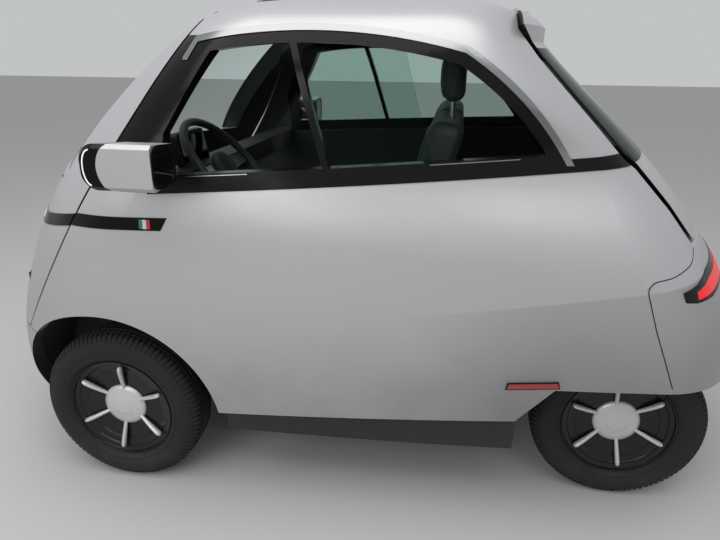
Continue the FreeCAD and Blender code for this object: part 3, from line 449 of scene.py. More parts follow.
def nose_rows(skin, spread, rise, half_tall, count):
    """Rows of start points round the nose, in line with the bar's slope."""
    columns = []
    for k in range(count):
        angle = spread * (2 * k / (count - 1) - 1)
        x, y = NOSE_MIDDLE + NOSE_REACH * cos(angle), NOSE_REACH * sin(angle)
        height = bar_height(BAR_FIRST) + rise
        for _ in range(NOSE_TRIES):
            height = bar_height(landing(skin, (x, y, height), to_nose((x, y)))[0].x) + rise
        columns.append([(x, y, height + half_tall * share) for share in (-1.0, -0.5, 0.5, 1.0)])
    return [list(row) for row in zip(*columns)]


LIGHT_SPREAD, LIGHT_HALF, LIGHT_PROUD = 0.66, 0.0085, 0.0018
GROOVE_SPREAD, GROOVE_RISE, GROOVE_HALF, GROOVE_PROUD = 0.80, 0.110, 0.003, 0.0004
bar_skin = skin_of("front_light_bar")
door_skin = skin_of("front_door_panel", "front_light_bar")
rows = nose_rows(door_skin, LIGHT_SPREAD, 0.0, LIGHT_HALF, 100)
laid_plate("nose_light", bar_skin, rows, to_nose, LIGHT_PROUD, led_and_highlight_white, "front_door")
# a dark strip laid over the groove at the cowl's edge: painted shade
groove_shade = Finish("groove_painted_shade", (0.05, 0.05, 0.055), 0.5)
groove_wear = groove_shade.noise(300, 2.0)
groove_shade.set("Roughness", 0.42 + groove_wear * 0.2)
rows = nose_rows(door_skin, GROOVE_SPREAD, GROOVE_RISE, GROOVE_HALF, 60)
laid_plate("cowl_groove_shade", door_skin, rows, to_nose, GROOVE_PROUD, groove_shade, "front_door")

# Rear bumper joints: the dark shadow gap where the bumper meets each wing, from the
# tailgate's lower corner forward and down to the skirt.
gap_black = Finish("gap_black", (0.012, 0.012, 0.012), 0.7, specular_ior_level=0.1)
grime = gap_black.noise(120, 2.0)
gap_black.set("Roughness", 0.6 + grime * 0.2)
JOINT = [
    # ahead of the rear axle, height
    (-0.118, 0.858), (-0.092, 0.826), (-0.027, 0.805), (0.025, 0.798), (0.040, 0.778), (0.0, 0.664),
    (-0.078, 0.483)]
JOINT_HALF, JOINT_STEP, JOINT_PROUD, BESIDE, OUTER_Y = 0.0013, 0.008, 0.0009, 0.007, 0.3


def even_line(corners, step):
    """Evenly spaced points on a line through corners, with the corners rounded off."""
    line = []
    for (x0, z0), (x1, z1) in zip(corners, corners[1:]):
        count = max(1, round(hypot(x1 - x0, z1 - z0) / step))
        line += [(x0 + (x1 - x0) * k / count, z0 + (z1 - z0) * k / count) for k in range(count)]
    for _ in range(3):
        inner = [((a[0] + 2 * b[0] + c[0]) / 4, (a[1] + 2 * b[1] + c[1]) / 4)
                 for a, b, c in zip(line, line[1:], line[2:])]
        line = [line[0], *inner, line[-1]]
    return line


for side, tag in ((1, "left"), (-1, "right")):
    skin = skin_of("side_panel_" + tag, "rear_bumper")
    line = even_line(JOINT, JOINT_STEP)
    points = []
    for k, (x, z) in enumerate(line):
        (x0, z0), (x1, z1) = line[max(k - 1, 0)], line[min(k + 1, len(line) - 1)]
        length = hypot(x1 - x0, z1 - z0)
        across_x, across_z = (z1 - z0) / length, -(x1 - x0) / length
        banks = []
        for way in (-1, 1):
            start = (REAR_AXLE + x + across_x * BESIDE * way, side, z + across_z * BESIDE * way)
            banks.append(skin.ray_cast(Vector(start), Vector((0, -side, 0)))[0])
        if None in banks or min(abs(bank.y) for bank in banks) < OUTER_Y:
            continue
        middle, half = (banks[0] + banks[1]) / 2, (banks[1] - banks[0]) / 2 * (JOINT_HALF / BESIDE)
        proud = Vector((0, side * JOINT_PROUD, 0))
        points += [middle - half + proud, middle + half + proud]
    piece("bumper_joint_" + tag, points, grid_faces(len(points) // 2, 2), gap_black, "body")

# Tail lamp: a red lens behind the clear face of the gloss black band, from wing to
# wing round the bumper.
red_lens = Finish("red_lens", (0.70, 0.010, 0.016), 0.22, specular_ior_level=0.25)
red_lens.set("Emission Color", (1.0, 0.03, 0.04, 1.0))
red_lens.set("Emission Strength", 0.25)
_, _, up = red_lens.place()
red_lens.relief(up.wave(0.006) * 0.0003)
tail_skin = skin_of("tail_light_bar")
TAIL_CENTRE = Vector((-0.72, 0.0, 0.764))
LAMP_SPREAD, LAMP_COUNT, LAMP_INSET, LAMP_PROUD = 1.40, 120, 3, 0.0016
LAMP_SHARES = (0.16, 0.20, 0.66, 0.70)
TAIL_REACH, BAND_FROM, BAND_STEP, BAND_TRIES, BAND_LEAST = 1.2, 0.68, 0.0025, 70, 9


def from_tail(start):
    """The way from a start point in to the middle of the tail."""
    return (TAIL_CENTRE.x - start[0], -start[1], 0)


def round_tail(angle):
    """A place well outside the bumper at an angle round the tail."""
    return TAIL_CENTRE.x - TAIL_REACH * cos(angle), TAIL_REACH * sin(angle)


def band_heights(angle):
    """The heights at which the band is met from outside at an angle round the tail."""
    met = []
    for k in range(BAND_TRIES):
        start = Vector((*round_tail(angle), BAND_FROM + BAND_STEP * k))
        if tail_skin.ray_cast(start, Vector(from_tail(start)).normalized())[0] is not None:
            met.append(start.z)
    return met


columns = []
for k in range(LAMP_COUNT):
    angle = LAMP_SPREAD * (2 * k / (LAMP_COUNT - 1) - 1)
    met = band_heights(angle)
    if len(met) > BAND_LEAST:
        bottom, tall = met[0], met[-1] - met[0]
        columns.append([(*round_tail(angle), bottom + tall * share) for share in LAMP_SHARES])
rows = [list(row) for row in zip(*columns[LAMP_INSET:-LAMP_INSET])]
laid_plate("tail_light", tail_skin, rows, from_tail, LAMP_PROUD, red_lens, "body")

# Lamp and mirror pods: painted shells on stalks, with a black lens in front. The lens
# carries a white light ring and a projector. A glowing white line along its outer edge
# is a painted highlight. The mirror sits in a black rim at the back; its glass is
# painted dark, a painted reflection of dark surroundings.
# the mirror's colour is painted dark, a painted reflection of dark surroundings; the lamp projector uses it
# too
mirror_glass = Finish("mirror_glass", (0.20, 0.21, 0.22), 0.04, 1.0)
misted = mirror_glass.noise(40, 3.0)
mirror_glass.set("Roughness", 0.03 + misted.between(0.5, 0.9) * 0.05)
POD_Y, POD_Z, POD_AHEAD, POD_BEHIND = 0.817, 1.089, 1.0, -0.2


def ring_rows(y, z, x, wide, tall, shares, power, count=72):
    """Closed rows of start points on rounded outlines about a point of the pod."""
    rows = []
    for share in shares:
        row = []
        for k in range(count):
            a = 2 * pi * k / count
            c, s = cos(a), sin(a)
            reach = (abs(c) ** power + abs(s) ** power) ** (-1 / power)
            row.append((x, y + wide * share * reach * c, z + tall * share * reach * s))
        rows.append(row)
    return rows


def laid_ring(name, skin, rows, way, lifts, finish, body):
    """A closed band on a skin: rows of start points all round, each lifted by its own height."""
    points = []
    for row, lift in zip(rows, lifts):
        for start in row:
            point, normal = landing(skin, start, way)
            points.append(point + normal * lift)
    return piece(name, points, grid_faces(len(rows), len(rows[0]), closed=True), finish, body)


LAMP_RING = [
    # share of the outline, height above the skin
    (1.0, -0.0005), (0.985, 0.0016), (0.87, 0.0016), (0.855, -0.0005)]
PROJECTOR = [
    (1.0, -0.0005), (0.97, 0.0020), (0.80, 0.0050), (0.55, 0.0078), (0.28, 0.0090), (0.01, 0.0094)]
MIRROR_RIM = [(1.0, -0.0005), (0.985, 0.0026), (0.80, 0.0026), (0.79, -0.0005)]
MIRROR = [(1.0, 0.0010), (0.7, 0.0012), (0.35, 0.0014), (0.01, 0.0015)]
POD_RINGS = [
    # name, carried by, start x, lowered by, half width, half height, roundness, ring, finish, slot
    ("lamp_ring_", "headlamp_lens_", POD_AHEAD, 0.0, 0.047, 0.044, 2.6, LAMP_RING, led_and_highlight_white, "lamp_clear"),
    ("lamp_projector_", "headlamp_lens_", POD_AHEAD, 0.004, 0.024, 0.024, 2.0, PROJECTOR, mirror_glass,
     "lamp_clear"),
    ("mirror_rim_", "lamp_mirror_pod_", POD_BEHIND, 0.0, 0.0585, 0.0535, 4.5, MIRROR_RIM, gloss_black,
     "gloss_black"),
    ("mirror_glass_", "lamp_mirror_pod_", POD_BEHIND, 0.0, 0.0480, 0.0430, 4.0, MIRROR, mirror_glass,
     "lamp_clear")]
EDGE_X, EDGE_DEEP, EDGE_TALL, EDGE_INSETS = 0.5185, 0.036, 0.046, (0.0, 0.0015, 0.0030)
EDGE_FROM, EDGE_TURN, EDGE_STEPS, EDGE_ROUND, EDGE_PROUD, EDGE_START = -72, 150, 40, 0.6, 0.0008, 1.2
edge_angles = [radians(EDGE_FROM + EDGE_TURN * k / EDGE_STEPS) for k in range(EDGE_STEPS + 1)]
for side, tag in ((1, "left"), (-1, "right")):
    for name, carrier, ahead, lowered, wide, tall, power, ring, finish, slot in POD_RINGS:
        shares, lifts = zip(*ring)
        rows = ring_rows(side * POD_Y, POD_Z - lowered, ahead, wide, tall, shares, power)
        way = (-1, 0, 0) if ahead > 0 else (1, 0, 0)
        laid_ring(name + tag, skin_of(carrier + tag), rows, way, lifts, finish, "body")
    # a glowing white line on the outer side of the lens: a painted highlight
    rows = [[(EDGE_X + (EDGE_DEEP - inset) * cos(a) ** EDGE_ROUND, side * EDGE_START,
              POD_Z + (EDGE_TALL - inset) * sin(a)) for a in edge_angles] for inset in EDGE_INSETS]
    laid_plate("lamp_edge_" + tag, skin_of("headlamp_lens_" + tag), rows, (0, -side, 0), EDGE_PROUD,
               led_and_highlight_white, "body")

# Tyres: 145/70 R13 road tyres with plain sidewalls. Their tread is cut in blocks at
# the shoulders, with straight grooves between smooth middle ribs.
RUBBER, ROAD_DUST = (0.016, 0.016, 0.017), (0.10, 0.09, 0.08)
rubber = Finish("tyre_rubber", RUBBER, 0.78, specular_ior_level=0.3)
_, _, up = rubber.place()
scuff = rubber.noise(14, 4.0, 0.6)
road_dust = (0.20 - up).between(0.0, 0.22) * scuff.between(0.3, 0.8) * 0.35
rubber.set("Base Color", rubber.blend(road_dust, shaded(RUBBER, 1), shaded(ROAD_DUST, 1)))
rubber.set("Roughness", 0.70 + scuff * 0.15)
rubber.relief(rubber.noise(500, 2.0) * 0.0002)
TYRE_HALF_WIDTH, PITCHES = 0.0725, 92
TYRE_PROFILE = [
    # radius, in from the side, depth of the cuts across
    (0.1722, 0.0140, 0), (0.1780, 0.0080, 0), (0.1840, 0.0045, 0), (0.1870, 0.0025, 0), (0.1900, 0.0028, 0),
    (0.1925, 0.0042, 0), (0.1950, 0.0030, 0), (0.2050, 0.0010, 0), (0.2130, 0.0003, 0), (0.2220, 0.0010, 0),
    (0.2300, 0.0032, 0), (0.2370, 0.0066, 0), (0.2395, 0.0078, 0), (0.2420, 0.0100, 0.0015),
    (0.2480, 0.0132, 0.0045), (0.2540, 0.0170, 0.0055), (0.2585, 0.0215, 0.0055), (0.2612, 0.0260, 0.0055),
    (0.2630, 0.0330, 0.0055), (0.2634, 0.0350, 0.0050), (0.2575, 0.0362, 0), (0.2575, 0.0402, 0),
    (0.2640, 0.0414, 0.0025), (0.2646, 0.0520, 0.0025), (0.2588, 0.0532, 0), (0.2588, 0.0580, 0),
    (0.2650, 0.0592, 0), (0.2650, 0.0725, 0)]
CUT_STEPS = [
    # share of a pitch, share of the cut's depth
    (0.0, 0), (0.07, 1), (0.27, 1), (0.34, 0)]
WHEELS = [
    # corner, x, y, turned by
    ("front_left", FRONT_AXLE, 0.610, -0.086), ("front_right", FRONT_AXLE, -0.610, 0.21),
    ("rear_left", REAR_AXLE, 0.421, 0.139), ("rear_right", REAR_AXLE, -0.421, -0.3)]
AXLE_HEIGHT = 0.265
for corner, x, y, phase in WHEELS:
    section = [(r, TYRE_HALF_WIDTH - inset, cut) for r, inset, cut in TYRE_PROFILE]
    section += [(r, -reach, cut) for r, reach, cut in reversed(section[:-1])]
    points = []
    for k in range(PITCHES):
        for share, cut_here in CUT_STEPS:
            a = 2 * pi * (k + share) / PITCHES
            ring = [(r - cut * cut_here, reach) for r, reach, cut in section]
            points += [(x + r * cos(a), y + reach, AXLE_HEIGHT + r * sin(a)) for r, reach in ring]
    faces = grid_faces(PITCHES * len(CUT_STEPS) + 1, len(section), closed=True)
    faces = [tuple(i % len(points) for i in face) for face in faces]
    piece("tyre_tread_" + corner, points, faces, rubber, "wheel_" + corner,
          ["tyre_" + corner], 30)

# Rims: pressed steel wheels under a gloss black dished cover. A plain silver cap and
# six short silver arms clip on to it.
rim_black = Finish("rim_black", (0.008, 0.008, 0.009), 0.14, specular_ior_level=0.35)
rim_dust = rim_black.noise(30, 4.0)
rim_black.set("Roughness", 0.10 + rim_dust.between(0.4, 0.8) * 0.16)
rim_silver = Finish("rim_silver", (0.58, 0.58, 0.58), 0.34, 0.35, coat_weight=0.2)
fleck = rim_silver.noise(1200, 1.0)
rim_silver.set("Roughness", 0.30 + fleck * 0.1)
DISH = [
    # radius, outward from the wheel's middle
    (0.0, 0.0205), (0.0163, 0.0205), (0.0163, -0.008), (0.048, -0.008), (0.048, 0.022), (0.060, 0.022),
    (0.163, 0.040), (0.1665, 0.036), (0.1665, -0.061), (0.1716, -0.061), (0.1716, 0.0600), (0.1706, 0.0622),
    (0.1690, 0.0628), (0.1672, 0.0622), (0.1660, 0.0600), (0.1645, 0.0545), (0.1600, 0.0515),
    (0.1540, 0.0505), (0.1520, 0.0495), (0.1505, 0.0460), (0.1480, 0.0440), (0.1280, 0.0405),
    (0.1265, 0.0385), (0.1000, 0.0345), (0.0800, 0.0320), (0.0, 0.0320)]
CAP = [
    # radius, outward
    (0.0, 0.0480), (0.018, 0.0477), (0.034, 0.0468), (0.0350, 0.0462), (0.0358, 0.0461), (0.048, 0.0444),
    (0.058, 0.0420), (0.066, 0.0388), (0.0705, 0.0350), (0.0722, 0.0300), (0.0700, 0.0300)]
ARM_LINE = [
    # radius, outward, half width, half height
    (0.060, 0.0355, 0.0068, 0.0050), (0.075, 0.0395, 0.0072, 0.0060), (0.095, 0.0450, 0.0078, 0.0080),
    (0.115, 0.0505, 0.0082, 0.0095), (0.135, 0.0550, 0.0085, 0.0105), (0.1435, 0.0560, 0.0084, 0.0105),
    (0.1485, 0.0562, 0.0072, 0.0090), (0.1515, 0.0562, 0.0048, 0.0062), (0.1525, 0.0562, 0.0005, 0.0008)]
ARMS, ARM_ROUND, ARM_NARROW = 6, 16, 0.86


def turned(profile, count):
    """Points and faces of a profile of (radius, outward), turned about the wheel's axle."""
    points, faces, rows = [], [], []
    for radius, out in profile:
        if radius == 0:
            rows.append([len(points)] * count)
            points.append((0.0, out, 0.0))
        else:
            rows.append([len(points) + k for k in range(count)])
            turns = [2 * pi * k / count for k in range(count)]
            points += [(radius * cos(a), out, radius * sin(a)) for a in turns]
    for first, second in zip(rows, rows[1:]):
        for k in range(count):
            face = (first[k], first[(k + 1) % count], second[(k + 1) % count], second[k])
            faces.append(tuple(dict.fromkeys(face)))
    return points, faces


def on_wheel(points, x, y, phase):
    """Moves points from a wheel's own frame, where Y is outward, to its place on the car."""
    outward = 1 if y > 0 else -1
    moved = []
    for px, py, pz in points:
        tx, tz = px * cos(phase) + pz * sin(phase), pz * cos(phase) - px * sin(phase)
        moved.append((x + outward * tx, y + outward * py, AXLE_HEIGHT + tz))
    return moved


for corner, x, y, phase in WHEELS:
    points, faces = turned(DISH, 96)
    piece("rim_dish_" + corner, on_wheel(points, x, y, phase), faces, rim_black, "wheel_" + corner,
          ["rim_" + corner])
    points, faces = turned(CAP, 64)
    piece("rim_cap_" + corner, on_wheel(points, x, y, phase), faces, rim_silver, "wheel_" + corner)
    points, faces = [], []
    for arm in range(ARMS):
        a = pi / 2 + 2 * pi / ARMS * arm
        start = len(points)
        for radius, out, wide, tall in ARM_LINE:
            for k in range(ARM_ROUND):
                b = 2 * pi * k / ARM_ROUND
                aside, rise = wide * ARM_NARROW * cos(b), tall * sin(b)
                points.append((radius * cos(a) - aside * sin(a), out + rise,
                               radius * sin(a) + aside * cos(a)))
        faces += grid_faces(len(ARM_LINE), ARM_ROUND, start, True)
        faces += [tuple(range(start, start + ARM_ROUND)), tuple(range(len(points) - ARM_ROUND, len(points)))]
    piece("rim_arms_" + corner, on_wheel(points, x, y, phase), faces, rim_silver, "wheel_" + corner)

# Floor, running gear and motor: the floor is coated black sheet, welded up and open to
# the road. Painted steel forgings carry the wheels, and the motor's case is cast alloy.
underbody = Finish("underbody", (0.020, 0.020, 0.020), 0.6)
stone = underbody.noise(220, 3.0)
underbody.set("Roughness", 0.55 + stone * 0.25)
underbody.relief(stone * 0.0006)
dress(underbody, "floor_tub")
CHASSIS, RUST = (0.035, 0.035, 0.037), (0.11, 0.09, 0.075)
chassis = Finish("chassis_steel", CHASSIS, 0.5, 0.2)
grit = chassis.noise(90, 4.0)
chassis.set("Base Color", chassis.blend(grit.between(0.55, 0.75), shaded(CHASSIS, 1), shaded(RUST, 1)))
chassis.set("Roughness", 0.42 + grit * 0.3)
dress(chassis, "front_suspension", "rear_axle", *sides("steering_knuckle"))
cast = Finish("cast_alloy", (0.34, 0.34, 0.35), 0.45, 0.9)
sand = cast.noise(420, 3.0)
cast.set("Roughness", 0.38 + sand * 0.25)
cast.relief(sand * 0.0004)
dress(cast, "drive_motor")
case = Finish("battery_case", (0.06, 0.065, 0.07), 0.5)
_, ribs, _ = case.place()
case.relief(ribs.wave(0.05) * 0.0008)
case.set("Roughness", 0.45 + case.noise(60, 3.0) * 0.2)
dress(case, "battery_block")

# Fabric roof: one woven, coated sheet drawn tight over its bows and clamped in the
# frame of the roof opening, with a stitched hem all round.
soft_top = Finish("soft_top", (0.020, 0.020, 0.022), 0.85, sheen_weight=0.25)
along, across, _ = soft_top.place()
fade = soft_top.noise(7, 3.0)
CLOTH_DARK, CLOTH_FADED = (0.017, 0.017, 0.018, 1), (0.030, 0.030, 0.032, 1)
soft_top.set("Base Color", soft_top.blend(fade.between(0.3, 0.8), CLOTH_DARK, CLOTH_FADED))
soft_top.relief(along.wave(0.0022) * across.wave(0.0022) * 0.00025 + fade * 0.0012)
roof_low, roof_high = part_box("fabric_roof")
roof_skin = skin_of("fabric_roof")
TOP_INSET = 0.002
TOP_X0, TOP_X1, TOP_HALF = roof_low.x + TOP_INSET, roof_high.x - TOP_INSET, roof_high.y - TOP_INSET
BOWS, TOP_ROWS, TOP_COLUMNS, CLOTH_THICK = 3, 72, 96, 0.0018
HEM_IN, HEM_WIDE, HEM_DEEP, EDGE_HELD = 0.018, 0.0025, 0.0009, 0.05
SAG_DEEP, SAG_SHARE, BOW_SHARPNESS, CLOTH_PROUD = 0.0035, 0.7, 6, 0.0006
points = []
for layer in (0.0, -CLOTH_THICK):
    for r in range(TOP_ROWS):
        for c in range(TOP_COLUMNS):
            x = TOP_X0 + (TOP_X1 - TOP_X0) * r / (TOP_ROWS - 1)
            y = TOP_HALF * (2 * c / (TOP_COLUMNS - 1) - 1)
            point, normal = landing(roof_skin, (x, y, 2.0), (0, 0, -1))
            share = (x - TOP_X0) / (TOP_X1 - TOP_X0)
            edge = min(1.0, min(x - TOP_X0, TOP_X1 - x, TOP_HALF - abs(y)) / EDGE_HELD)
            bow = max(0.0, cos(2 * pi * share * (BOWS + 1) / 2)) ** BOW_SHARPNESS
            hem = exp(-((edge * EDGE_HELD - HEM_IN) / HEM_WIDE) ** 2)
            sag = -SAG_DEEP * edge * (1 - bow) - HEM_DEEP * hem
            points.append(point + normal * (CLOTH_PROUD + sag * SAG_SHARE + layer))
faces = sheet_faces(TOP_ROWS, TOP_COLUMNS)
soft_roof = piece("soft_top", points, faces, soft_top, "body", ["fabric_roof"])

# Seats: a moulded foam bench and backrest and two headrests, covered in black
# leatherette. Sewn channels mark out two places. The headrests stand on steel rods.
seat_cover = Finish("seat_cover", (0.026, 0.026, 0.028), 0.52, sheen_weight=0.12)
pores = seat_cover.noise(900, 3.0)
rubbed = seat_cover.noise(6, 3.0)
COVER_DARK, COVER_RUBBED = (0.022, 0.022, 0.024, 1), (0.040, 0.040, 0.042, 1)
seat_cover.set("Base Color", seat_cover.blend(rubbed.between(0.4, 0.8), COVER_DARK, COVER_RUBBED))
seat_cover.set("Roughness", 0.46 + pores * 0.16)
seat_cover.relief(pores * 0.0005)


CLOTH_STEPS, PRESSURE, SWELL_ROOM = 20, 4.0, 0.003


def stuffed(name, half, round_off, voxel, cap, seam, matrix, node):
    """A pad: a rounded block, blown up as cloth, with its seams pressed in afterwards."""
    work = bmesh.new()
    bmesh.ops.create_cube(work, size=2.0)
    for vertex in work.verts:
        vertex.co = Vector([c * (h - SWELL_ROOM) for c, h in zip(vertex.co, half)])
    bmesh.ops.bevel(work, geom=work.edges[:], offset=round_off, segments=4, profile=0.5, affect="EDGES")
    mesh = bpy.data.meshes.new(name)
    work.to_mesh(mesh)
    work.free()
    pad = bpy.data.objects.new(name, mesh)
    bpy.context.scene.collection.objects.link(pad)
    remesh = pad.modifiers.new("remesh", "REMESH")
    remesh.mode, remesh.voxel_size = "VOXEL", voxel
    graph = bpy.context.evaluated_depsgraph_get()
    mesh = bpy.data.meshes.new_from_object(pad.evaluated_get(graph))
    pad.modifiers.clear()
    pad.data = mesh
    start = [v.co.copy() for v in mesh.vertices]
    cloth = pad.modifiers.new("cloth", "CLOTH")
    cloth.settings.use_pressure = True
    cloth.settings.uniform_pressure_force = PRESSURE
    cloth.settings.effector_weights.gravity = 0.0
    cloth.settings.quality = 4
    cloth.point_cache.frame_start, cloth.point_cache.frame_end = 1, CLOTH_STEPS
    for step in range(1, CLOTH_STEPS + 1):
        bpy.context.scene.frame_set(step)
    graph = bpy.context.evaluated_depsgraph_get()
    blown = bpy.data.meshes.new_from_object(pad.evaluated_get(graph))
    pad.modifiers.clear()
    pad.data = blown
    bpy.context.scene.frame_set(1)
    for vertex, first in zip(blown.vertices, start):
        move = vertex.co - first
        if move.length > cap:
            move *= cap / move.length
        if first.z < 0:
            move *= max(0.0, 1.0 + first.z / half[2])
        vertex.co = first + move
    work = bmesh.new()
    work.from_mesh(pad.data)
    bmesh.ops.subdivide_edges(work, edges=work.edges[:], cuts=1, use_grid_fill=True, smooth=0.6)
    work.normal_update()
    for vertex in work.verts:
        vertex.co -= vertex.normal * seam(vertex.co)
    work.to_mesh(pad.data)
    work.free()
    pad.data.transform(matrix)
    for polygon in pad.data.polygons:
        polygon.use_smooth = True
    pad.data.materials.clear()
    pad.data.materials.append(seat_cover.material)
    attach(pad, "body")
    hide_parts(node)
    return pad


def place_edge(across, along, centre, half_wide, half_long, corner=0.05):
    """How far a point lies from a rounded rectangle about one seat's place."""
    dx = abs(abs(across) - centre) - (half_wide - corner)
    dy = abs(along) - (half_long - corner)
    outside = hypot(max(dx, 0), max(dy, 0)) + min(max(dx, dy), 0)
    return abs(outside - corner)


def channel(distance, width, depth):
    return depth * exp(-(distance / width) ** 2)


SEAM_WIDE, SEAM_DEEP, CROSS_DEEP, CROSS_PITCH, CROSS_INSET = 0.005, 0.005, 0.004, 0.08, 0.025
BENCH_Y, BENCH_PLACE_WIDE, BENCH_PLACE_LONG, BENCH_CROSS_START = 0.255, 0.205, 0.19, 0.2
BENCH_SEWN_FROM, BENCH_DIP = -0.02, 0.014
BACK_Y, BACK_PLACE_WIDE, BACK_PLACE_LONG, BACK_CROSS_START = 0.245, 0.195, 0.245, 0.24
BACK_SEWN_FROM, BACK_DIP = 0.01, 0.016
HEAD_SEAM_Z, HEAD_SEAM_WIDE, HEAD_SEAM_DEEP = 0.022, 0.004, 0.003


def place_seams(point, middle, half_wide, half_long, cross_start):
    """The sewn edge of a seat's place, and the cross channels inside it."""
    depth = channel(place_edge(point.y, point.x, middle, half_wide, half_long), SEAM_WIDE, SEAM_DEEP)
    if abs(abs(point.y) - middle) < half_wide - CROSS_INSET and abs(point.x) < half_long - CROSS_INSET:
        cross = (point.x + cross_start) % CROSS_PITCH - CROSS_PITCH / 2
        depth = max(depth, channel(cross, SEAM_WIDE, CROSS_DEEP))
    return depth


def cushion_seam(point):
    """The bench: two sewn places, cross channels in each, and a dip between them."""
    if point.z < BENCH_SEWN_FROM:
        return 0.0
    depth = place_seams(point, BENCH_Y, BENCH_PLACE_WIDE, BENCH_PLACE_LONG, BENCH_CROSS_START)
    return max(depth, channel(point.y, BENCH_DIP, BENCH_DIP))


def back_seam(point):
    """The backrest: the same two places on its front, standing."""
    depth = place_seams(point, BACK_Y, BACK_PLACE_WIDE, BACK_PLACE_LONG, BACK_CROSS_START)
    return max(depth if point.z > BACK_SEWN_FROM else 0.0, channel(point.y, BACK_DIP, BACK_DIP))


def head_seam(point):
    """The headrest: one seam round its front edge."""
    return channel(point.z - HEAD_SEAM_Z, HEAD_SEAM_WIDE, HEAD_SEAM_DEEP)


# how far each pad starts inside its solid, its rounding, its voxels and its cap
PAD_INSET, PAD_ROUND, PAD_VOXEL, CUSHION_CAP, BACK_CAP = 0.006, 0.032, 0.009, 0.016, 0.014
HEAD_INSET, HEAD_ROUND, HEAD_VOXEL, HEAD_CAP = 0.005, 0.030, 0.006, 0.010
bench_low, bench_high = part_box("bench_cushion")
bench_middle = (bench_low + bench_high) / 2
bench_half = [half - PAD_INSET for half in (bench_high - bench_low) / 2]
stuffed("seat_cushion", bench_half, PAD_ROUND, PAD_VOXEL, CUSHION_CAP, cushion_seam,
        Matrix.Translation(bench_middle), "bench_cushion")
LEAN, BACK_DEEP, BACK_TALL, BACK_WIDE = radians(14), 0.11, 0.5874, 0.98
BACK_FOOT = Vector((-0.2135, 0.0, 0.6063))
# the pad's own Z is the front of the backrest, and its own X runs up the back
back_turn = Matrix(((0, 0, 1, BACK_DEEP / 2), (0, -1, 0, 0), (1, 0, 0, BACK_TALL / 2), (0, 0, 0, 1)))
back_turn = Matrix.Rotation(-LEAN, 4, "Y") @ back_turn
back_half = [size / 2 - PAD_INSET for size in (BACK_TALL, BACK_WIDE, BACK_DEEP)]
stuffed("seat_back", back_half, PAD_ROUND, PAD_VOXEL, BACK_CAP, back_seam,
        Matrix.Translation(BACK_FOOT) @ back_turn, "bench_back")
chrome = Finish("headrest_rod", (0.60, 0.61, 0.62), 0.18, 1.0)
rod_haze = chrome.noise(200, 2.0)
chrome.set("Roughness", 0.12 + rod_haze * 0.12)
HEAD_TALL, HEAD_DEEP, HEAD_WIDE, HEAD_Y = 0.160, 0.086, 0.260, 0.240
ROD_Y, ROD_RADIUS, ROD_LONG, ROD_SUNK = 0.065, 0.0058, 0.12, 0.03
for side, tag in ((1, "left"), (-1, "right")):
    head_low, head_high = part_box("headrest_" + tag)
    top = Vector(((head_low.x + head_high.x) / 2, side * HEAD_Y, head_high.z - HEAD_TALL / 2))
    head_turn = Matrix(((0, 0, 1, top.x), (0, -1, 0, top.y), (1, 0, 0, top.z), (0, 0, 0, 1)))
    head_half = [size / 2 - HEAD_INSET for size in (HEAD_TALL, HEAD_WIDE, HEAD_DEEP)]
    stuffed("headrest_pad_" + tag, head_half, HEAD_ROUND, HEAD_VOXEL, HEAD_CAP, head_seam, head_turn,
            "headrest_" + tag)
    for k, rod_y in enumerate((-ROD_Y, ROD_Y)):
        points, faces = turned([(0.0, 0.0), (ROD_RADIUS, 0.0), (ROD_RADIUS, ROD_LONG), (0.0, ROD_LONG)], 20)
        points = [(top.x + px, side * HEAD_Y + rod_y + pz, head_low.z - ROD_SUNK + py)
                  for px, py, pz in points]
        piece(f"headrest_rod_{tag}_{k}", points, faces, chrome, "body")

# Dashboard: a moulded bar across the cabin, and the steering column's cowl, both
# grained black. A small display stands on the bar behind the steering wheel.
grained = Finish("grained_black", (0.022, 0.022, 0.024), 0.55)
leather_cells = grained.noise(650, 2.0)
grained.set("Roughness", 0.50 + leather_cells * 0.14)
grained.relief(leather_cells * 0.0005)
dress(grained, "dashboard", "steering_column")
screen_black = Finish("screen_black", (0.006, 0.007, 0.009), 0.08, specular_ior_level=0.2)
thumb = screen_black.noise(25, 3.0)
screen_black.set("Roughness", 0.05 + thumb.between(0.5, 0.8) * 0.15)


def rounded_plate(name, middle, wide, tall, thick, corner, tilt, finish):
    """An upright plate with rounded corners and softened edges, facing the seats."""
    outline = []
    for cx, cy, first in ((1, 1, 0.0), (-1, 1, 0.5), (-1, -1, 1.0), (1, -1, 1.5)):
        for k in range(9):
            a = pi * (first + 0.5 * k / 8)
            outline.append((cx * (wide / 2 - corner) + corner * cos(a),
                            cy * (tall / 2 - corner) + corner * sin(a)))
    rings = [(0.94, -thick / 2), (1.0, -thick / 2 + 0.003), (1.0, thick / 2 - 0.003), (0.94, thick / 2)]
    points = []
    for share, depth in rings:
        for py, pz in outline:
            inset = 1 - (1 - share) * 0.3
            lean = pz * inset * sin(tilt)
            points.append((middle[0] + depth + lean, middle[1] + py * inset,
                           middle[2] + pz * inset * cos(tilt)))
    count = len(outline)
    faces = grid_faces(len(rings), count, closed=True)
    faces += [tuple(range(count)), tuple(range(3 * count, 4 * count))]
    return piece(name, points, faces, finish, "body")


DISPLAY, SCREEN, DISPLAY_TILT = (0.536, 0.33, 1.058), (0.5235, 0.33, 1.058), 0.2
rounded_plate("display_case", DISPLAY, 0.205, 0.110, 0.022, 0.018, DISPLAY_TILT, grained)
rounded_plate("display_screen", SCREEN, 0.180, 0.086, 0.004, 0.010, DISPLAY_TILT, screen_black)

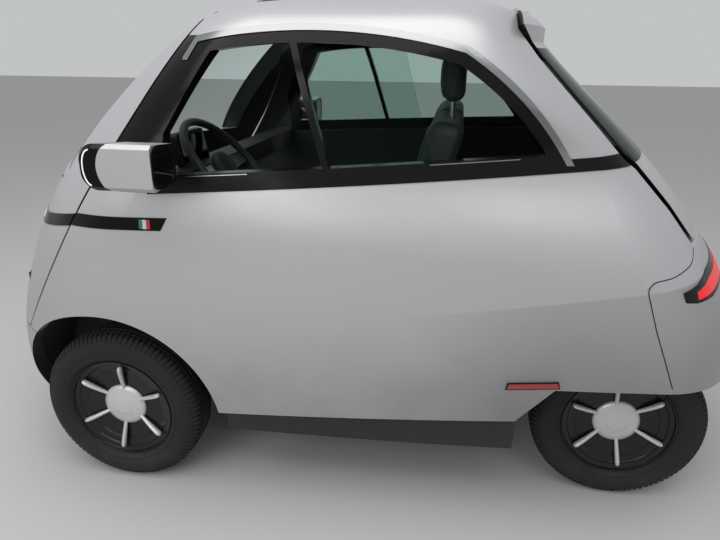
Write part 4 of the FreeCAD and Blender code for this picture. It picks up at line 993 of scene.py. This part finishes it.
# Steering wheel: a leather-covered ring on three bright metal spokes, which are
# clamped under a moulded hub on the column.
WHEEL_MIDDLE = Vector((0.4145, 0.330, 1.010))
RAKE = radians(42)
wheel_in = Vector((cos(RAKE), 0, -sin(RAKE)))
wheel_up = Vector((sin(RAKE), 0, cos(RAKE)))
wheel_side = Vector((0, 1, 0))
RING, GRIP, RING_STEPS, GRIP_STEPS = 0.172, 0.0125, 96, 16
SPOKE_LINE = [
    # radius, half width, depth towards the column
    (0.035, 0.030, 0.012), (0.080, 0.022, 0.010), (0.125, 0.018, 0.005), (0.166, 0.022, 0.0)]
SPOKE_BACK, SPOKE_FRONT = -0.002, 0.004


def at_wheel(side, up, deep):
    return WHEEL_MIDDLE + wheel_side * side + wheel_up * up + wheel_in * deep


points = []
for k in range(RING_STEPS):
    a = 2 * pi * k / RING_STEPS
    for m in range(GRIP_STEPS):
        b = 2 * pi * m / GRIP_STEPS
        reach = RING + GRIP * cos(b)
        points.append(at_wheel(reach * cos(a), reach * sin(a), GRIP * sin(b)))
faces = [tuple(i % len(points) for i in face) for face in grid_faces(RING_STEPS + 1, GRIP_STEPS, closed=True)]
piece("steering_ring", points, faces, seat_cover, "steering", ["steering_wheel"])
points, faces = [], []
for a in (0.0, pi, 1.5 * pi):
    start = len(points)
    for reach, wide, deep in SPOKE_LINE:
        section = ((-wide, SPOKE_BACK), (wide, SPOKE_BACK), (wide, SPOKE_FRONT), (-wide, SPOKE_FRONT))
        for aside, thick in section:
            points.append(at_wheel(reach * cos(a) - aside * sin(a),
                                   reach * sin(a) + aside * cos(a), deep + thick))
    faces += grid_faces(len(SPOKE_LINE), 4, start, True)
    faces += [tuple(range(start, start + 4)), tuple(range(len(points) - 4, len(points)))]
piece("steering_spokes", points, faces, bright, "steering")
HUB = [
    # radius, depth towards the column
    (0.0, -0.012), (0.030, -0.011), (0.044, -0.007), (0.050, 0.0), (0.052, 0.010), (0.046, 0.022),
    (0.0, 0.024)]
points, faces = turned(HUB, 48)
points = [at_wheel(px, pz, py) for px, py, pz in points]
piece("steering_hub", points, faces, grained, "steering")

# Stage: a pale floor, soft studio light and the camera where the photograph was taken.
floor_paint = Finish("floor_paint", (0.50, 0.50, 0.49), 0.8)
floor_mesh = bpy.data.meshes.new("floor")
FLOOR_HALF = 30.0
floor_mesh.from_pydata([(-FLOOR_HALF, -FLOOR_HALF, 0), (FLOOR_HALF, -FLOOR_HALF, 0),
                        (FLOOR_HALF, FLOOR_HALF, 0), (-FLOOR_HALF, FLOOR_HALF, 0)], [], [(0, 1, 2, 3)])
floor_mesh.materials.append(floor_paint.material)
floor = bpy.data.objects.new("floor", floor_mesh)
bpy.context.scene.collection.objects.link(floor)
floor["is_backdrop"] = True

world = bpy.context.scene.world or bpy.data.worlds.new("studio")
bpy.context.scene.world = world
world.use_nodes = True
sky = world.node_tree.nodes["Background"]
sky.inputs["Color"].default_value = (0.86, 0.88, 0.90, 1.0)
sky.inputs["Strength"].default_value = 0.62


def lamp(name, place, aim, width, height, watts):
    """A soft rectangular lamp that shines at a point."""
    light = bpy.data.lights.new(name, "AREA")
    light.shape = "RECTANGLE"
    light.size, light.size_y, light.energy = width, height, watts
    holder = bpy.data.objects.new(name, light)
    holder.location = place
    holder.rotation_euler = (Vector(aim) - Vector(place)).to_track_quat("-Z", "Y").to_euler()
    bpy.context.scene.collection.objects.link(holder)


lamp("ceiling", (0.2, 1.4, 4.2), (0, 0, 0.8), 5.0, 4.0, 120)
lamp("side", (1.8, 4.6, 2.8), (0, 0, 0.9), 3.0, 2.0, 60)

CAMERA_PLACE = (-0.3235, 2.129, 1.347)
CAMERA_YAW, CAMERA_PITCH, CAMERA_ROLL = 0.1629, 0.3554, 0.0094
camera_data = bpy.data.cameras.new("camera")
camera_data.sensor_width = 36.0
camera_data.lens = 29.04
camera = bpy.data.objects.new("camera", camera_data)
aimed = (Matrix.Rotation(pi + CAMERA_YAW, 4, "Z") @ Matrix.Rotation(pi / 2 - CAMERA_PITCH, 4, "X")
         @ Matrix.Rotation(CAMERA_ROLL, 4, "Z"))
camera.matrix_world = Matrix.Translation(CAMERA_PLACE) @ aimed
bpy.context.scene.collection.objects.link(camera)
bpy.context.scene.camera = camera
bpy.context.scene.view_settings.view_transform = "Standard"

low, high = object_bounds()
